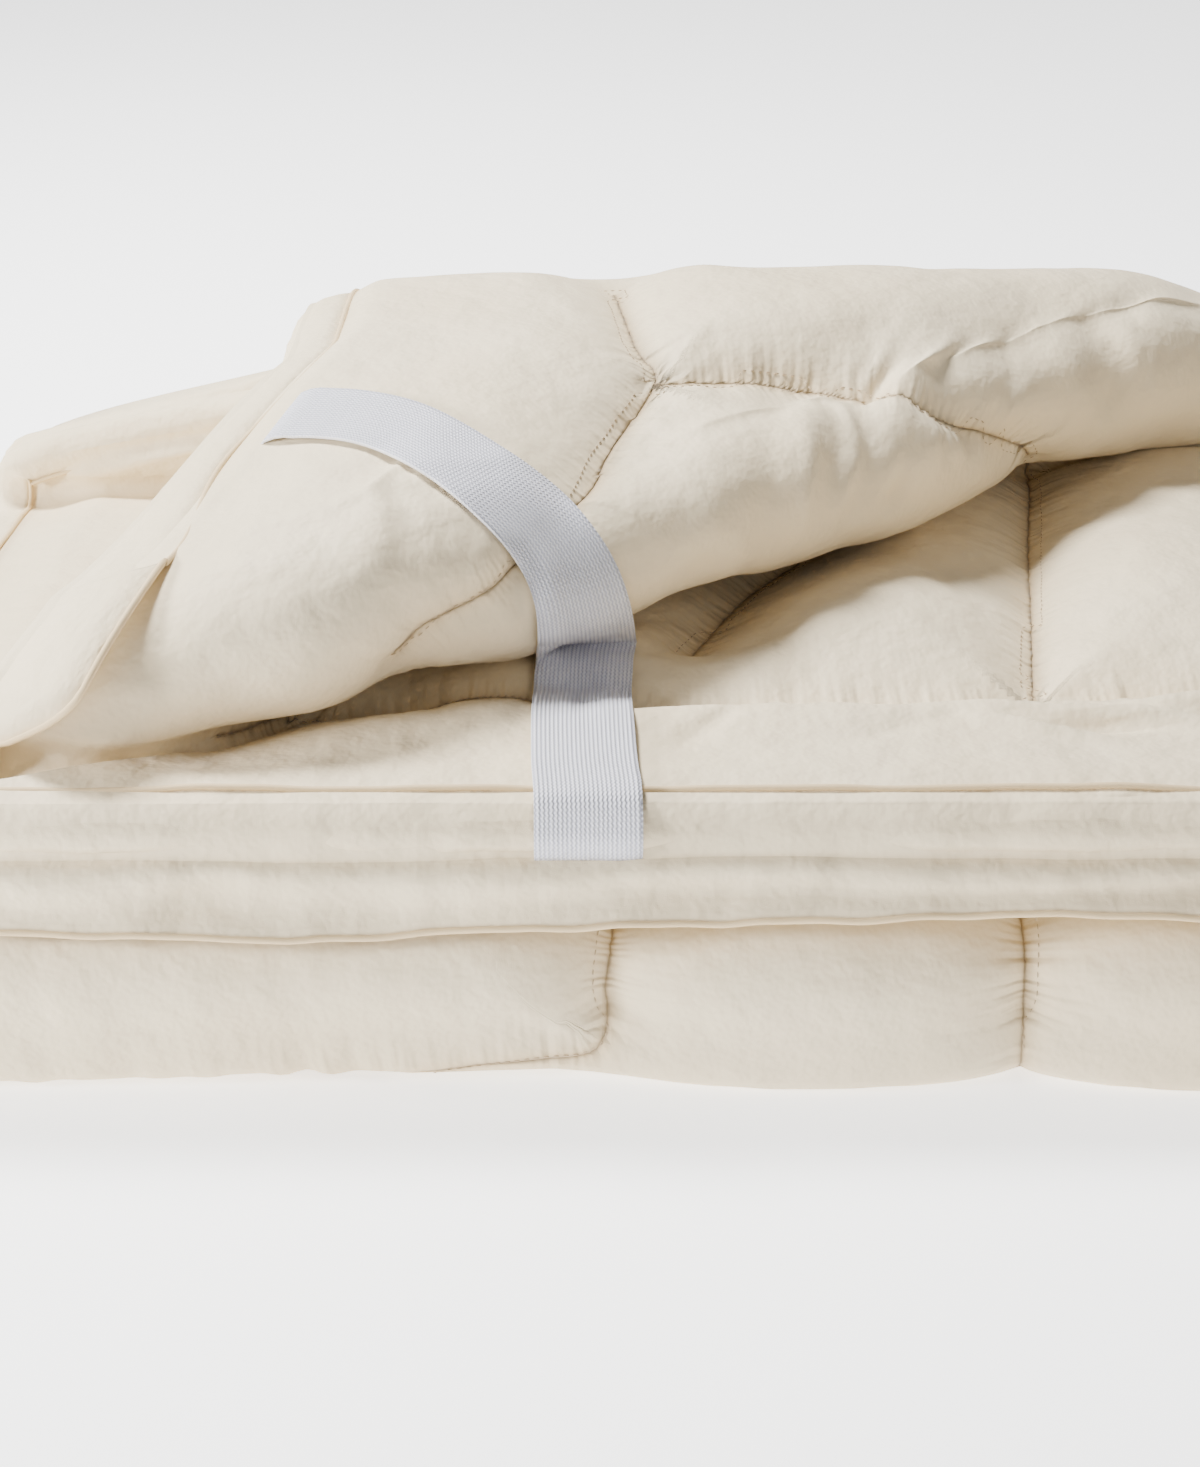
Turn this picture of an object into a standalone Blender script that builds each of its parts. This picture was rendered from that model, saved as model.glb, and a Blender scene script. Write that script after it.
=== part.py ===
"""Quilted mattress topper, folded in a stack of five layers with one slanting pleat on top.

The topper is one filled sheet. It is followed from its front edge: back along the second layer,
round a hidden fold, forward, round the slanting top nose, back over the crest, down the tall back
fold, forward on the first layer, round the bottom nose and back along the floor to its far end.
"""
import math

import bpy
import bmesh
import numpy as np
from mathutils import Vector
from mathutils.bvhtree import BVHTree

# Topper and layers, in metres.
WIDTH = 0.99                 # across the topper, along X
HALF_SOFT = 0.0185           # half thickness of a filled layer
HALF_FOLD = 0.0150           # half thickness where it bends tightly
SQUEEZE = 0.70               # part of the half thickness lost on the inside of a tight bend
HALF_FRONT = 0.0235          # half height of the front edge's border
HALF_SIDE = 0.0152           # half thickness drawn in at the sides and the far end
SIDE_ROLL = 0.055            # width over which the sides draw in
FLOOR_LAYER_Z = 0.0185       # middle of the layer on the floor
FIRST_LAYER_Z = 0.0600       # middle of the layer above it
SECOND_LAYER_Z = 0.1070      # middle of the layer that ends at the front edge
FRONT_EDGE_Y = 0.0145
BOTTOM_NOSE_Y = 0.0395       # centre of the bottom fold's round
LEAST_TOP = 0.004            # shortest top layer between the nose and the crest
BACK_TURN = 0.0290           # radius where the back fold meets the first layer
FAR_END_INSET = 0.012
MIDDLE_X = 0.4724            # puts the frame at the middle of the box
MIDDLE_Y = 0.2684

# Quilting.
SEAMS_ACROSS = (0.137, 0.316, 0.495, 0.674, 0.853)   # from the left side
CROSS_PITCH = 0.240
CHANNEL_DEPTH = 0.30         # part of the thickness that a seam takes away
STEPS_IN_CELL = (4, 5, 4, 2, 2, 2)

# Border band, corded seams and strap.
RIM_BULGE = 0.0050
SKIN_GAP = 0.0010
BAND_THICK = 0.0012
BAND_INSET = 0.0026          # the band stops this far short of the corded seam
PIPING_RADIUS = 0.0014
PIPING_OUT = 0.0023
PIPING_UP = 0.0006
STRAP_WIDTH = 0.0440
STRAP_THICK = 0.0024         # measured along STRAP_SIGHT
STRAP_LIFT = 0.0060          # how far in front of the cloth it lies
STRAP_STEPS_ACROSS = 2
STRAP_STEPS_ALONG = 34
STRAP_SIGHT = (0.0, 0.9135, -0.4067)     # the strap is laid on what shows from this way
STRAP_WRAP = ((0.0240, -0.0050), (0.0430, -0.0010))   # past the left edge: how far out, how far down

# The strap's middle line: from the front border over the second layer, up the top nose and across
# the top layer to the left edge.
STRAP_ROUTE = (
    (-0.1662, -0.262, 0.1085),
    (-0.1662, -0.246, 0.1290),
    (-0.1682, -0.190, 0.1220),
    (-0.1692, -0.130, 0.1210),
    (-0.1682, -0.100, 0.1230),
    (-0.1672, -0.148, 0.1550),
    (-0.1722, -0.142, 0.1790),
    (-0.1862, -0.135, 0.2010),
    (-0.2072, -0.113, 0.2130),
    (-0.2312, -0.079, 0.2160),
    (-0.2582, -0.051, 0.2180),
    (-0.2832, -0.038, 0.2180),
    (-0.3062, -0.031, 0.2160),
)

# How the fold changes from the left side to the right. One row for each place across the width:
# nose = front of the top nose, rise = height from the second layer to the top one, turn = how far
# the pleat turns back in degrees, tuck = straight length inside the pleat, crest and back = top
# layer's highest line and the back fold's middle.
FOLD_COLUMNS = ("across", "nose_y", "rise", "turn", "tuck", "crest_y", "crest_z", "back_y")
FOLD_TABLE = (
    (0.000, 0.052, 0.050,  60, 0.006, 0.310, 0.2050, 0.500),
    (0.059, 0.052, 0.062,  82, 0.006, 0.320, 0.2100, 0.503),
    (0.111, 0.059, 0.078, 124, 0.006, 0.330, 0.2130, 0.506),
    (0.157, 0.070, 0.086, 158, 0.006, 0.330, 0.2160, 0.509),
    (0.211, 0.098, 0.088, 174, 0.026, 0.330, 0.2185, 0.512),
    (0.311, 0.163, 0.089, 180, 0.058, 0.340, 0.2185, 0.515),
    (0.411, 0.240, 0.089, 180, 0.078, 0.380, 0.2140, 0.517),
    (0.511, 0.323, 0.086, 180, 0.046, 0.430, 0.2050, 0.520),
    (0.591, 0.385, 0.083, 175, 0.006, 0.455, 0.1950, 0.520),
    (0.651, 0.420, 0.070, 130, 0.006, 0.478, 0.1810, 0.520),
    (0.761, 0.437, 0.061, 115, 0.006, 0.484, 0.1715, 0.520),
    (0.990, 0.445, 0.058, 112, 0.006, 0.489, 0.1680, 0.520),
)

# Sideways drift of the pleated layers, which is largest at the left side.
DRIFT_AT_NOSE = 0.074
DRIFT_AT_CREST = 0.155
DRIFT_BELOW = -0.045         # in the layers under the pleat
DRIFT_DROPS = 0.60           # part of the back rounding after which the drift changes to the lower value
DRIFT_REACH = 0.760
DRIFT_FADE = 1.3

FINE = 24                    # points for a bend before it is sampled at even steps
SLOPE_STEP = 0.015
USUAL_STRETCH = 1.25         # how much a slanting fold lengthens in a straight section

# Stations in each stretch of the section, in order from the front edge.
BEND_STEPS = 7
TUCK_STEPS = 2
STRETCHES = (
    ("second_layer", 6),
    ("pleat", 2 * BEND_STEPS + TUCK_STEPS),
    ("top_layer", 16),
    ("back_turn", 5),
    ("first_layer", 7),
    ("bottom_nose", 7),
    ("floor_layer", 7),
)


def smooth(value):
    """Ease from 0 to 1."""
    value = min(max(value, 0.0), 1.0)
    return value * value * (3.0 - 2.0 * value)


def fold_values(across):
    """The fold table read at one place across the width, on smooth curves."""
    rows = np.array(FOLD_TABLE, dtype=float)
    places = rows[:, 0]
    slopes = np.gradient(rows, places, axis=0)
    k = int(np.clip(np.searchsorted(places, across) - 1, 0, len(places) - 2))
    span = places[k + 1] - places[k]
    u = (across - places[k]) / span
    low, high = rows[k], rows[k + 1]
    blend = (
        (2 * u ** 3 - 3 * u ** 2 + 1) * low
        + (u ** 3 - 2 * u ** 2 + u) * span * slopes[k]
        + (3 * u ** 2 - 2 * u ** 3) * high
        + (u ** 3 - u ** 2) * span * slopes[k + 1]
    )
    straight = low + (high - low) * u
    values = dict(zip(FOLD_COLUMNS, blend))
    for name in ("turn", "tuck"):
        values[name] = straight[FOLD_COLUMNS.index(name)]
    return values


def pleat_radius(fold):
    """Radius of the pleat's two bends."""
    return fold["rise"] / (2.0 * (1.0 - math.cos(math.radians(fold["turn"]))))


def hidden_fold_y(fold):
    """Roughly where the hidden fold lies."""
    lead = pleat_radius(fold) * (2.0 * math.sin(math.radians(fold["turn"])) - 1.0)
    return fold["nose_y"] + (fold["tuck"] - lead) * USUAL_STRETCH


def pleat(fold, stretch):
    """The S-shaped pleat in (y, z): back round the hidden fold, forward, and round the top nose."""
    turn = math.radians(fold["turn"])
    radius = pleat_radius(fold)
    tuck_y, tuck_z = fold["tuck"] * math.cos(turn), fold["tuck"] * math.sin(turn)
    points = []
    for k in range(BEND_STEPS + 1):
        angle = turn * k / BEND_STEPS
        points.append((radius * math.sin(angle), radius * (1.0 - math.cos(angle))))
    for k in range(1, TUCK_STEPS):
        part = k / TUCK_STEPS
        y = radius * math.sin(turn) + tuck_y * part
        points.append((y, radius * (1.0 - math.cos(turn)) + tuck_z * part))
    for k in range(BEND_STEPS + 1):
        angle = turn * (1.0 - k / BEND_STEPS)
        y = radius * (2.0 * math.sin(turn) - math.sin(angle)) + tuck_y
        points.append((y, fold["rise"] + tuck_z - radius * (1.0 - math.cos(angle))))
    front = radius * (2.0 * math.sin(turn) - 1.0) + tuck_y
    shift = fold["nose_y"] + (HALF_FOLD - front) * stretch
    return [(shift + y * stretch, SECOND_LAYER_Z + z) for y, z in points]


def evenly(points, count):
    """Rows of numbers sampled at even steps along a path given by their first two numbers."""
    points = np.array(points, dtype=float)
    steps = np.linalg.norm(np.diff(points[:, :2], axis=0), axis=1)
    travel = np.concatenate([[0.0], np.cumsum(steps)])
    wanted = np.linspace(0.0, travel[-1], count + 1)
    return np.column_stack([np.interp(wanted, travel, column) for column in points.T])


def top_layer(fold, start, count):
    """From the top nose up over the crest and down the back fold, as rows of (y, z, drift)."""
    crest_y = max(fold["crest_y"], start[0] + LEAST_TOP)
    crest_z = max(fold["crest_z"], start[1])
    foot_z = FIRST_LAYER_Z + BACK_TURN
    round_off = min(fold["back_y"] - crest_y, crest_z - foot_z)
    points = []
    for k in range(FINE + 1):
        u = k / FINE
        drift = DRIFT_AT_NOSE + (DRIFT_AT_CREST - DRIFT_AT_NOSE) * u
        y = start[0] + (crest_y - start[0]) * u
        z = start[1] + (crest_z - start[1]) * smooth(u)
        points.append((y, z, drift))
    for k in range(1, FINE + 1):
        u = k / FINE
        angle = math.pi / 2.0 * u
        y = fold["back_y"] - round_off * (1.0 - math.sin(angle))
        z = crest_z - round_off * (1.0 - math.cos(angle))
        drop = smooth((u - DRIFT_DROPS) / (1.0 - DRIFT_DROPS))
        points.append((y, z, DRIFT_AT_CREST + (DRIFT_BELOW - DRIFT_AT_CREST) * drop))
    points.append((fold["back_y"], foot_z, DRIFT_BELOW))
    return evenly(points, count)


def back_turn(fold, count):
    """The round from the back fold into the first layer."""
    rows = []
    for k in range(count + 1):
        u = k / count
        angle = math.pi / 2.0 * u
        y = fold["back_y"] - BACK_TURN * (1.0 - math.cos(angle))
        z = FIRST_LAYER_Z + BACK_TURN * (1.0 - math.sin(angle))
        rows.append((y, z, DRIFT_BELOW))
    return rows


def with_drift(points):
    """Rows of (y, z, drift) from the front edge to the top nose, with the drift growing on the way."""
    steps = [math.dist(p, q) for p, q in zip(points, points[1:])]
    total = sum(steps)
    rows = []
    travel = 0.0
    for (y, z), step in zip(points, [0.0] + steps):
        travel += step
        rows.append((y, z, DRIFT_AT_NOSE * smooth(travel / total)))
    return rows


def section(across):
    """One column of the topper's middle surface, as rows of (x, y, z, stretch name)."""
    fold = fold_values(across)
    low, high = max(across - SLOPE_STEP, 0.0), min(across + SLOPE_STEP, WIDTH)
    slope = (hidden_fold_y(fold_values(high)) - hidden_fold_y(fold_values(low))) / (high - low)
    counts = dict(STRETCHES)
    bend = pleat(fold, math.sqrt(1.0 + slope * slope))
    lead = evenly(((FRONT_EDGE_Y, SECOND_LAYER_Z), bend[0]), counts["second_layer"])
    start_to_nose = with_drift(list(lead) + bend[1:])
    lead, bend = start_to_nose[:len(lead)], start_to_nose[len(lead) - 1:]
    over = top_layer(fold, bend[-1], counts["top_layer"])
    turn = back_turn(fold, counts["back_turn"])
    nose_radius = (FIRST_LAYER_Z - FLOOR_LAYER_Z) / 2.0
    nose = []
    for k in range(counts["bottom_nose"] + 1):
        angle = math.pi * k / counts["bottom_nose"]
        y = BOTTOM_NOSE_Y - nose_radius * math.sin(angle)
        nose.append((y, FLOOR_LAYER_Z + nose_radius * (1.0 + math.cos(angle)), DRIFT_BELOW))
    far_end = (fold["back_y"] - FAR_END_INSET, FLOOR_LAYER_Z, DRIFT_BELOW)
    parts = {
        "second_layer": lead,
        "pleat": bend,
        "top_layer": over,
        "back_turn": turn,
        "first_layer": evenly((turn[-1], nose[0]), counts["first_layer"]),
        "bottom_nose": nose,
        "floor_layer": evenly((nose[-1], far_end), counts["floor_layer"]),
    }
    reach = max(0.0, 1.0 - across / DRIFT_REACH) ** DRIFT_FADE
    rows = []
    for name, count in STRETCHES:
        first = 0 if name == "second_layer" else 1
        for y, z, drift in parts[name][first:]:
            rows.append((across + drift * reach, y, z, name))
    return rows


def column_places():
    """Places across the width: on every seam, closer together where the pleat slants."""
    lines = (0.0,) + SEAMS_ACROSS + (WIDTH,)
    places = [0.0]
    for low, high, steps in zip(lines, lines[1:], STEPS_IN_CELL):
        for k in range(1, steps + 1):
            places.append(low + (high - low) * k / steps)
    return places


def unit(vectors):
    """Vectors scaled to length 1."""
    return vectors / np.linalg.norm(vectors, axis=-1, keepdims=True)


def topper_grid():
    """Middle surface, its normals, and the thickness above and below it, on one grid."""
    places = column_places()
    columns = [section(place) for place in places]
    names = [row[3] for row in columns[0]]
    middle = np.array([[row[:3] for row in column] for column in columns])
    middle[:, :, 0] -= MIDDLE_X
    middle[:, :, 1] -= MIDDLE_Y
    along_width = np.gradient(middle, np.array(places), axis=0)
    along_length = np.gradient(middle, axis=1)
    normals = unit(np.cross(along_width, along_length))
    steps = np.linalg.norm(np.diff(middle, axis=1), axis=2)
    travel = np.concatenate([np.zeros((len(places), 1)), np.cumsum(steps, axis=1)], axis=1)
    half = np.zeros(middle.shape[:2])
    for i, place in enumerate(places):
        side = smooth(min(place, WIDTH - place) / SIDE_ROLL)
        for j, name in enumerate(names):
            far = smooth((travel[i, -1] - travel[i, j]) / SIDE_ROLL)
            front = smooth(travel[i, j] / SIDE_ROLL)
            body = HALF_FOLD if name == "pleat" else HALF_SOFT
            value = HALF_SIDE + (body - HALF_SIDE) * min(side, far)
            edge = HALF_SIDE + (HALF_FRONT - HALF_SIDE) * side
            value = edge + (value - edge) * front
            half[i, j] = value * (1.0 - CHANNEL_DEPTH * channel(place, travel[i], j))
    pleat_start = names.index("pleat") - 1
    back_start = names.index("back_turn") - 1
    counts = dict(STRETCHES)
    above = squeeze(len(names), pleat_start, BEND_STEPS)
    below = squeeze(len(names), pleat_start + BEND_STEPS + TUCK_STEPS, BEND_STEPS)
    below *= squeeze(len(names), back_start - 1, counts["back_turn"] + 2)
    return middle, normals, half * above, half * below


def squeeze(count, first, steps):
    """Factors for the thickness on the inside of a tight bend that starts at station first."""
    factors = np.ones(count)
    for k in range(steps + 1):
        factors[first + k] -= SQUEEZE * math.sin(math.pi * k / steps) ** 0.5
    return factors


def channel(place, travel, j):
    """1 where a seam of the quilting passes through this point of the grid, else 0."""
    inside = 0 < place < WIDTH and 0 < j < len(travel) - 1
    if not inside:
        return 0.0
    if min(abs(place - seam) for seam in SEAMS_ACROSS) < 1e-6:
        return 1.0
    cell = sum(place > seam for seam in SEAMS_ACROSS)
    offset = CROSS_PITCH * (0.5 if cell % 2 else 1.0)
    nearest = offset + CROSS_PITCH * round((travel[j] - offset) / CROSS_PITCH)
    spacing = (travel[j + 1] - travel[j - 1]) / 2.0
    return 1.0 if nearest > 0.1 and abs(travel[j] - nearest) <= spacing / 2.0 else 0.0


def fabric_material(name, color, roughness):
    """A plain cloth material."""
    material = bpy.data.materials.new(name)
    material.use_nodes = True
    shader = material.node_tree.nodes["Principled BSDF"]
    shader.inputs["Base Color"].default_value = (*color, 1.0)
    shader.inputs["Roughness"].default_value = roughness
    shader.inputs["Metallic"].default_value = 0.0
    return material


def add_object(name, points, faces, material):
    """A closed mesh object with its faces turned outwards."""
    mesh = bpy.data.meshes.new(name)
    mesh.from_pydata([tuple(point) for point in points], [], faces)
    work = bmesh.new()
    work.from_mesh(mesh)
    bmesh.ops.recalc_face_normals(work, faces=work.faces)
    work.to_mesh(mesh)
    work.free()
    mesh.shade_smooth()
    mesh.set_sharp_from_angle(angle=math.radians(50))
    mesh.materials.append(material)
    thing = bpy.data.objects.new(name, mesh)
    bpy.context.scene.collection.objects.link(thing)
    return thing


def outline(shape):
    """Grid positions once round the topper's edge."""
    across, along = shape
    front = [(i, 0) for i in range(across)]
    right = [(across - 1, j) for j in range(1, along)]
    far = [(i, along - 1) for i in range(across - 2, -1, -1)]
    left = [(0, j) for j in range(along - 2, 0, -1)]
    return front + right + far + left


def outward(middle, spots):
    """Directions that point out of the edge, in the plane of the cloth."""
    across, along = middle.shape[:2]
    width_way = np.gradient(middle, axis=0)
    length_way = np.gradient(middle, axis=1)
    result = []
    for i, j in spots:
        wide, long = width_way[i, j], length_way[i, j]
        total = np.zeros(3)
        if i in (0, across - 1):
            clear = wide - long * np.dot(wide, long) / np.dot(long, long)
            total += unit(clear) * (1.0 if i else -1.0)
        if j in (0, along - 1):
            clear = long - wide * np.dot(wide, long) / np.dot(wide, wide)
            total += unit(clear) * (1.0 if j else -1.0)
        result.append(total)
    return np.array(result)


def build_pad(middle, normals, above, below):
    """The filled sheet: two faces and a round rim."""
    upper = middle + normals * above[..., None]
    lower = middle - normals * below[..., None]
    lower[..., 2] = np.maximum(lower[..., 2], 0.0)
    across, along = above.shape
    size = across * along
    points = list(upper.reshape(-1, 3)) + list(lower.reshape(-1, 3))
    faces = []
    for i in range(across - 1):
        for j in range(along - 1):
            a, b = i * along + j, (i + 1) * along + j
            faces.append((a, b, b + 1, a + 1))
            faces.append((size + a, size + a + 1, size + b + 1, size + b))
    spots = outline(above.shape)
    ways = outward(middle, spots)
    first_rim = len(points)
    for (i, j), way in zip(spots, ways):
        points.append(middle[i, j] + way * RIM_BULGE)
    for k, (i, j) in enumerate(spots):
        following = (k + 1) % len(spots)
        p, q = spots[following]
        here, there = i * along + j, p * along + q
        faces.append((here, first_rim + k, first_rim + following))
        faces.append((here, first_rim + following, there))
        faces.append((size + here, first_rim + following, first_rim + k))
        faces.append((size + here, size + there, first_rim + following))
    cloth = fabric_material("cream_cotton", (0.70, 0.64, 0.56), 0.75)
    return add_object("quilted_pad", points, faces, cloth)


def ring_of_profiles(name, profiles, flipped, material):
    """A closed loop of cross-sections joined into one tube; flipped sides split the other way."""
    count, size = len(profiles), len(profiles[0])
    points = [point for profile in profiles for point in profile]
    faces = []
    for k in range(count):
        here, there = k * size, (k + 1) % count * size
        for m in range(size):
            n = (m + 1) % size
            if m in flipped:
                faces.append((here + m, there + m, here + n))
                faces.append((here + n, there + m, there + n))
            else:
                faces.append((here + m, there + m, there + n))
                faces.append((here + m, there + n, here + n))
    return add_object(name, points, faces, material)


def build_band(middle, normals, above, below):
    """The plain border band, a little outside the rim."""
    spots = outline(above.shape)
    profiles = []
    for (i, j), way in zip(spots, outward(middle, spots)):
        top_out = RIM_BULGE * BAND_INSET / above[i, j] + SKIN_GAP
        low_out = RIM_BULGE * BAND_INSET / below[i, j] + SKIN_GAP
        top = (top_out, above[i, j] - BAND_INSET)
        low = (low_out, BAND_INSET - below[i, j])
        inner = (top, (RIM_BULGE + SKIN_GAP, 0.0), low)
        outer = tuple((out + BAND_THICK, up) for out, up in reversed(inner))
        profile = [middle[i, j] + way * out + normals[i, j] * up for out, up in inner + outer]
        profiles.append(profile)
    cloth = fabric_material("border_cotton", (0.72, 0.66, 0.57), 0.75)
    return ring_of_profiles("boxing_band", profiles, (1, 4), cloth)


def build_piping(name, side, middle, normals, thickness):
    """A thin corded seam round one rim of the band; side is 1 or -1."""
    spots = outline(thickness.shape)
    profiles = []
    for (i, j), way in zip(spots, outward(middle, spots)):
        height = thickness[i, j] + PIPING_UP
        profile = []
        for corner in range(3):
            angle = math.radians(90 + 120 * corner)
            out = PIPING_OUT + PIPING_RADIUS * math.cos(angle)
            up = height + PIPING_RADIUS * math.sin(angle)
            profile.append(middle[i, j] + way * out + normals[i, j] * up * side)
        profiles.append(profile)
    cord = fabric_material(name + "_cloth", (0.78, 0.68, 0.52), 0.70)
    return ring_of_profiles(name, profiles, (), cord)


def curve_through(route, count):
    """Points at even steps of parameter on a smooth curve through the route."""
    route = [np.array(point) for point in route]
    route = [2 * route[0] - route[1]] + route + [2 * route[-1] - route[-2]]
    spans = len(route) - 3
    points = []
    for k in range(count + 1):
        place = spans * k / count
        m = min(int(place), spans - 1)
        u = place - m
        p0, p1, p2, p3 = route[m:m + 4]
        points.append(0.5 * (2 * p1 + (p2 - p0) * u + (2 * p0 - 5 * p1 + 4 * p2 - p3) * u ** 2
                             + (3 * p1 - p0 - 3 * p2 + p3) * u ** 3))
    return points


def eased(rows, times):
    """Rows evened out along their length, with both ends kept."""
    rows = rows.copy()
    for _ in range(times):
        rows[1:-1] = (rows[:-2] + 2.0 * rows[1:-1] + rows[2:]) / 4.0
    return rows


def skin_tree(things):
    """One search tree over the faces of several objects."""
    points, faces = [], []
    for thing in things:
        first = len(points)
        points += [vertex.co.copy() for vertex in thing.data.vertices]
        faces += [[first + index for index in face.vertices] for face in thing.data.polygons]
    return BVHTree.FromPolygons(points, faces)


def build_strap(things):
    """The ribbed elastic strap, a thin ribbon laid on the cloth and turned over the left edge."""
    tree = skin_tree(things)
    sight = Vector(STRAP_SIGHT)

    def lie(point):
        spot, normal = tree.ray_cast(Vector(point) - sight * 0.5, sight)[:2]
        return np.array(spot), np.array(normal if normal.dot(sight) < 0 else -normal)

    def bridged(points, lift):
        depths = points @ np.array(STRAP_SIGHT)
        padded = np.concatenate([depths[:1], depths, depths[-1:]])
        nearest = np.minimum(np.minimum(padded[:-2], padded[1:-1]), padded[2:])
        wanted = np.minimum(eased(nearest, 2) - lift, nearest - lift / 2.0)
        return points + (wanted - depths)[..., None] * np.array(STRAP_SIGHT)

    line = [lie(point) for point in curve_through(STRAP_ROUTE, STRAP_STEPS_ALONG)]
    spots = eased(bridged(np.array([spot for spot, _ in line]), 0.0), 2)
    facing = unit(eased(np.array([normal for _, normal in line]), 5))
    ways = unit(np.gradient(spots, axis=0))
    across = np.cross(ways, facing)
    across = unit(eased(unit(across * np.sign(across[:, :1])), 10))
    reaches = np.linspace(-STRAP_WIDTH / 2.0, STRAP_WIDTH / 2.0, STRAP_STEPS_ACROSS + 1)
    rows = []
    for spot, side in zip(spots, across):
        rows.append([lie(spot + side * reach)[0] for reach in reaches])
    rows = np.array(rows)
    rows = bridged(rows, STRAP_LIFT)
    way = unit(ways[-1] * np.array([1.0, 1.0, 0.0]))
    turned = [rows[-1] + way * out + np.array([0.0, 0.0, -down]) for out, down in STRAP_WRAP]
    rows = np.concatenate([rows, turned])
    size = STRAP_STEPS_ACROSS + 1
    outer = rows - np.array(STRAP_SIGHT) * STRAP_THICK
    points = list(rows.reshape(-1, 3)) + list(outer.reshape(-1, 3))
    layer = len(rows) * size
    faces = []
    for k in range(len(rows) - 1):
        for m in range(size - 1):
            a, b = k * size + m, (k + 1) * size + m
            faces.append((a, a + 1, b + 1, b))
            faces.append((layer + a, layer + b, layer + b + 1, layer + a + 1))
        for m in (0, size - 1):
            a, b = k * size + m, (k + 1) * size + m
            faces.append((a, b, layer + b, layer + a))
    for k in (0, len(rows) - 1):
        for m in range(size - 1):
            a = k * size + m
            faces.append((a, a + 1, layer + a + 1, layer + a))
    elastic = fabric_material("white_elastic", (0.78, 0.78, 0.84), 0.60)
    return add_object("corner_strap", points, faces, elastic)


def main():
    for thing in list(bpy.data.objects):
        bpy.data.objects.remove(thing, do_unlink=True)
    middle, normals, above, below = topper_grid()
    pad = build_pad(middle, normals, above, below)
    band = build_band(middle, normals, above, below)
    piping = build_piping("piping_upper", 1.0, middle, normals, above)
    build_piping("piping_lower", -1.0, middle, normals, below)
    build_strap((pad, band, piping))


main()
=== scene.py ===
"""Looks for the folded, quilted mattress topper: cloth, sewing, border, cord and elastic strap."""
import math

import bpy
import bmesh
import numpy as np
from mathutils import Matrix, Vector, noise
from mathutils.bvhtree import BVHTree
from mathutils.kdtree import KDTree


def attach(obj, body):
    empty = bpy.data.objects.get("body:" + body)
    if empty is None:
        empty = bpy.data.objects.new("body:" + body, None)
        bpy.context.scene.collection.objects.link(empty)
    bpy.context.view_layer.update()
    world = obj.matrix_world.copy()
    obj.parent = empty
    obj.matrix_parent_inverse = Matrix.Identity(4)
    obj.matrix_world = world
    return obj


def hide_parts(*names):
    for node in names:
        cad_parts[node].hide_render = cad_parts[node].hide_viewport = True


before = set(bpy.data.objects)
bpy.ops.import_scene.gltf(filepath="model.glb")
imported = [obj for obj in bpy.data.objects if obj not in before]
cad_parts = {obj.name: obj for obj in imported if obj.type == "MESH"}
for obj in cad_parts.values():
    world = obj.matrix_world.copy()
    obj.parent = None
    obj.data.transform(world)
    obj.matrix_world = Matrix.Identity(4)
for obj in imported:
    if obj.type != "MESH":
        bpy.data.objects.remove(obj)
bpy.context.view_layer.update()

# The topper and its layers, in metres, as in the frame.
# Half thicknesses are of the filled cloth, of the pleat, and at the front and side edges.
WIDTH = 0.99
HALF_SOFT = 0.0185
HALF_FOLD = 0.0150
HALF_FRONT = 0.0235
HALF_SIDE = 0.0152
SQUEEZE = 0.70               # part of the thickness lost inside a tight bend
SIDE_ROLL = 0.055
FLOOR_LAYER_Z = 0.0185
FIRST_LAYER_Z = 0.0600
SECOND_LAYER_Z = 0.1070
FRONT_EDGE_Y = 0.0145
BOTTOM_NOSE_Y = 0.0395
LEAST_TOP = 0.004
BACK_TURN = 0.0290
FAR_END_INSET = 0.012
MIDDLE_X = 0.4724
MIDDLE_Y = 0.2684
RIM_BULGE = 0.0050

# The fold at places across the width; turn is in degrees.
FOLD_COLUMNS = ("across", "nose_y", "rise", "turn", "tuck", "crest_y", "crest_z", "back_y")
FOLD_TABLE = (
    (0.000, 0.052, 0.050,  60, 0.006, 0.310, 0.2050, 0.500),
    (0.059, 0.052, 0.062,  82, 0.006, 0.320, 0.2100, 0.503),
    (0.111, 0.059, 0.078, 124, 0.006, 0.330, 0.2130, 0.506),
    (0.157, 0.070, 0.086, 158, 0.006, 0.330, 0.2160, 0.509),
    (0.211, 0.098, 0.088, 174, 0.026, 0.330, 0.2185, 0.512),
    (0.311, 0.163, 0.089, 180, 0.058, 0.340, 0.2185, 0.515),
    (0.411, 0.240, 0.089, 180, 0.078, 0.380, 0.2140, 0.517),
    (0.511, 0.323, 0.086, 180, 0.046, 0.430, 0.2050, 0.520),
    (0.591, 0.385, 0.083, 175, 0.006, 0.455, 0.1950, 0.520),
    (0.651, 0.420, 0.070, 130, 0.006, 0.478, 0.1810, 0.520),
    (0.761, 0.437, 0.061, 115, 0.006, 0.484, 0.1715, 0.520),
    (0.990, 0.445, 0.058, 112, 0.006, 0.489, 0.1680, 0.520),
)
# How far the left side of each layer lies to the right of the front edge's, the part of the way over the
# back where that changes, and how it fades across the width.
DRIFT_AT_NOSE = 0.074
DRIFT_AT_CREST = 0.155
DRIFT_BELOW = -0.045
DRIFT_DROPS = 0.60
DRIFT_REACH = 0.760
DRIFT_FADE = 1.3
DENSE = 40
SLOPE_STEP = 0.015
USUAL_STRETCH = 1.25

# Columns across the width: (from, to, spacing).
COLUMN_BANDS = ((0.0, 0.030, 0.004), (0.030, 0.640, 0.0036), (0.640, 0.990, 0.011))
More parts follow.
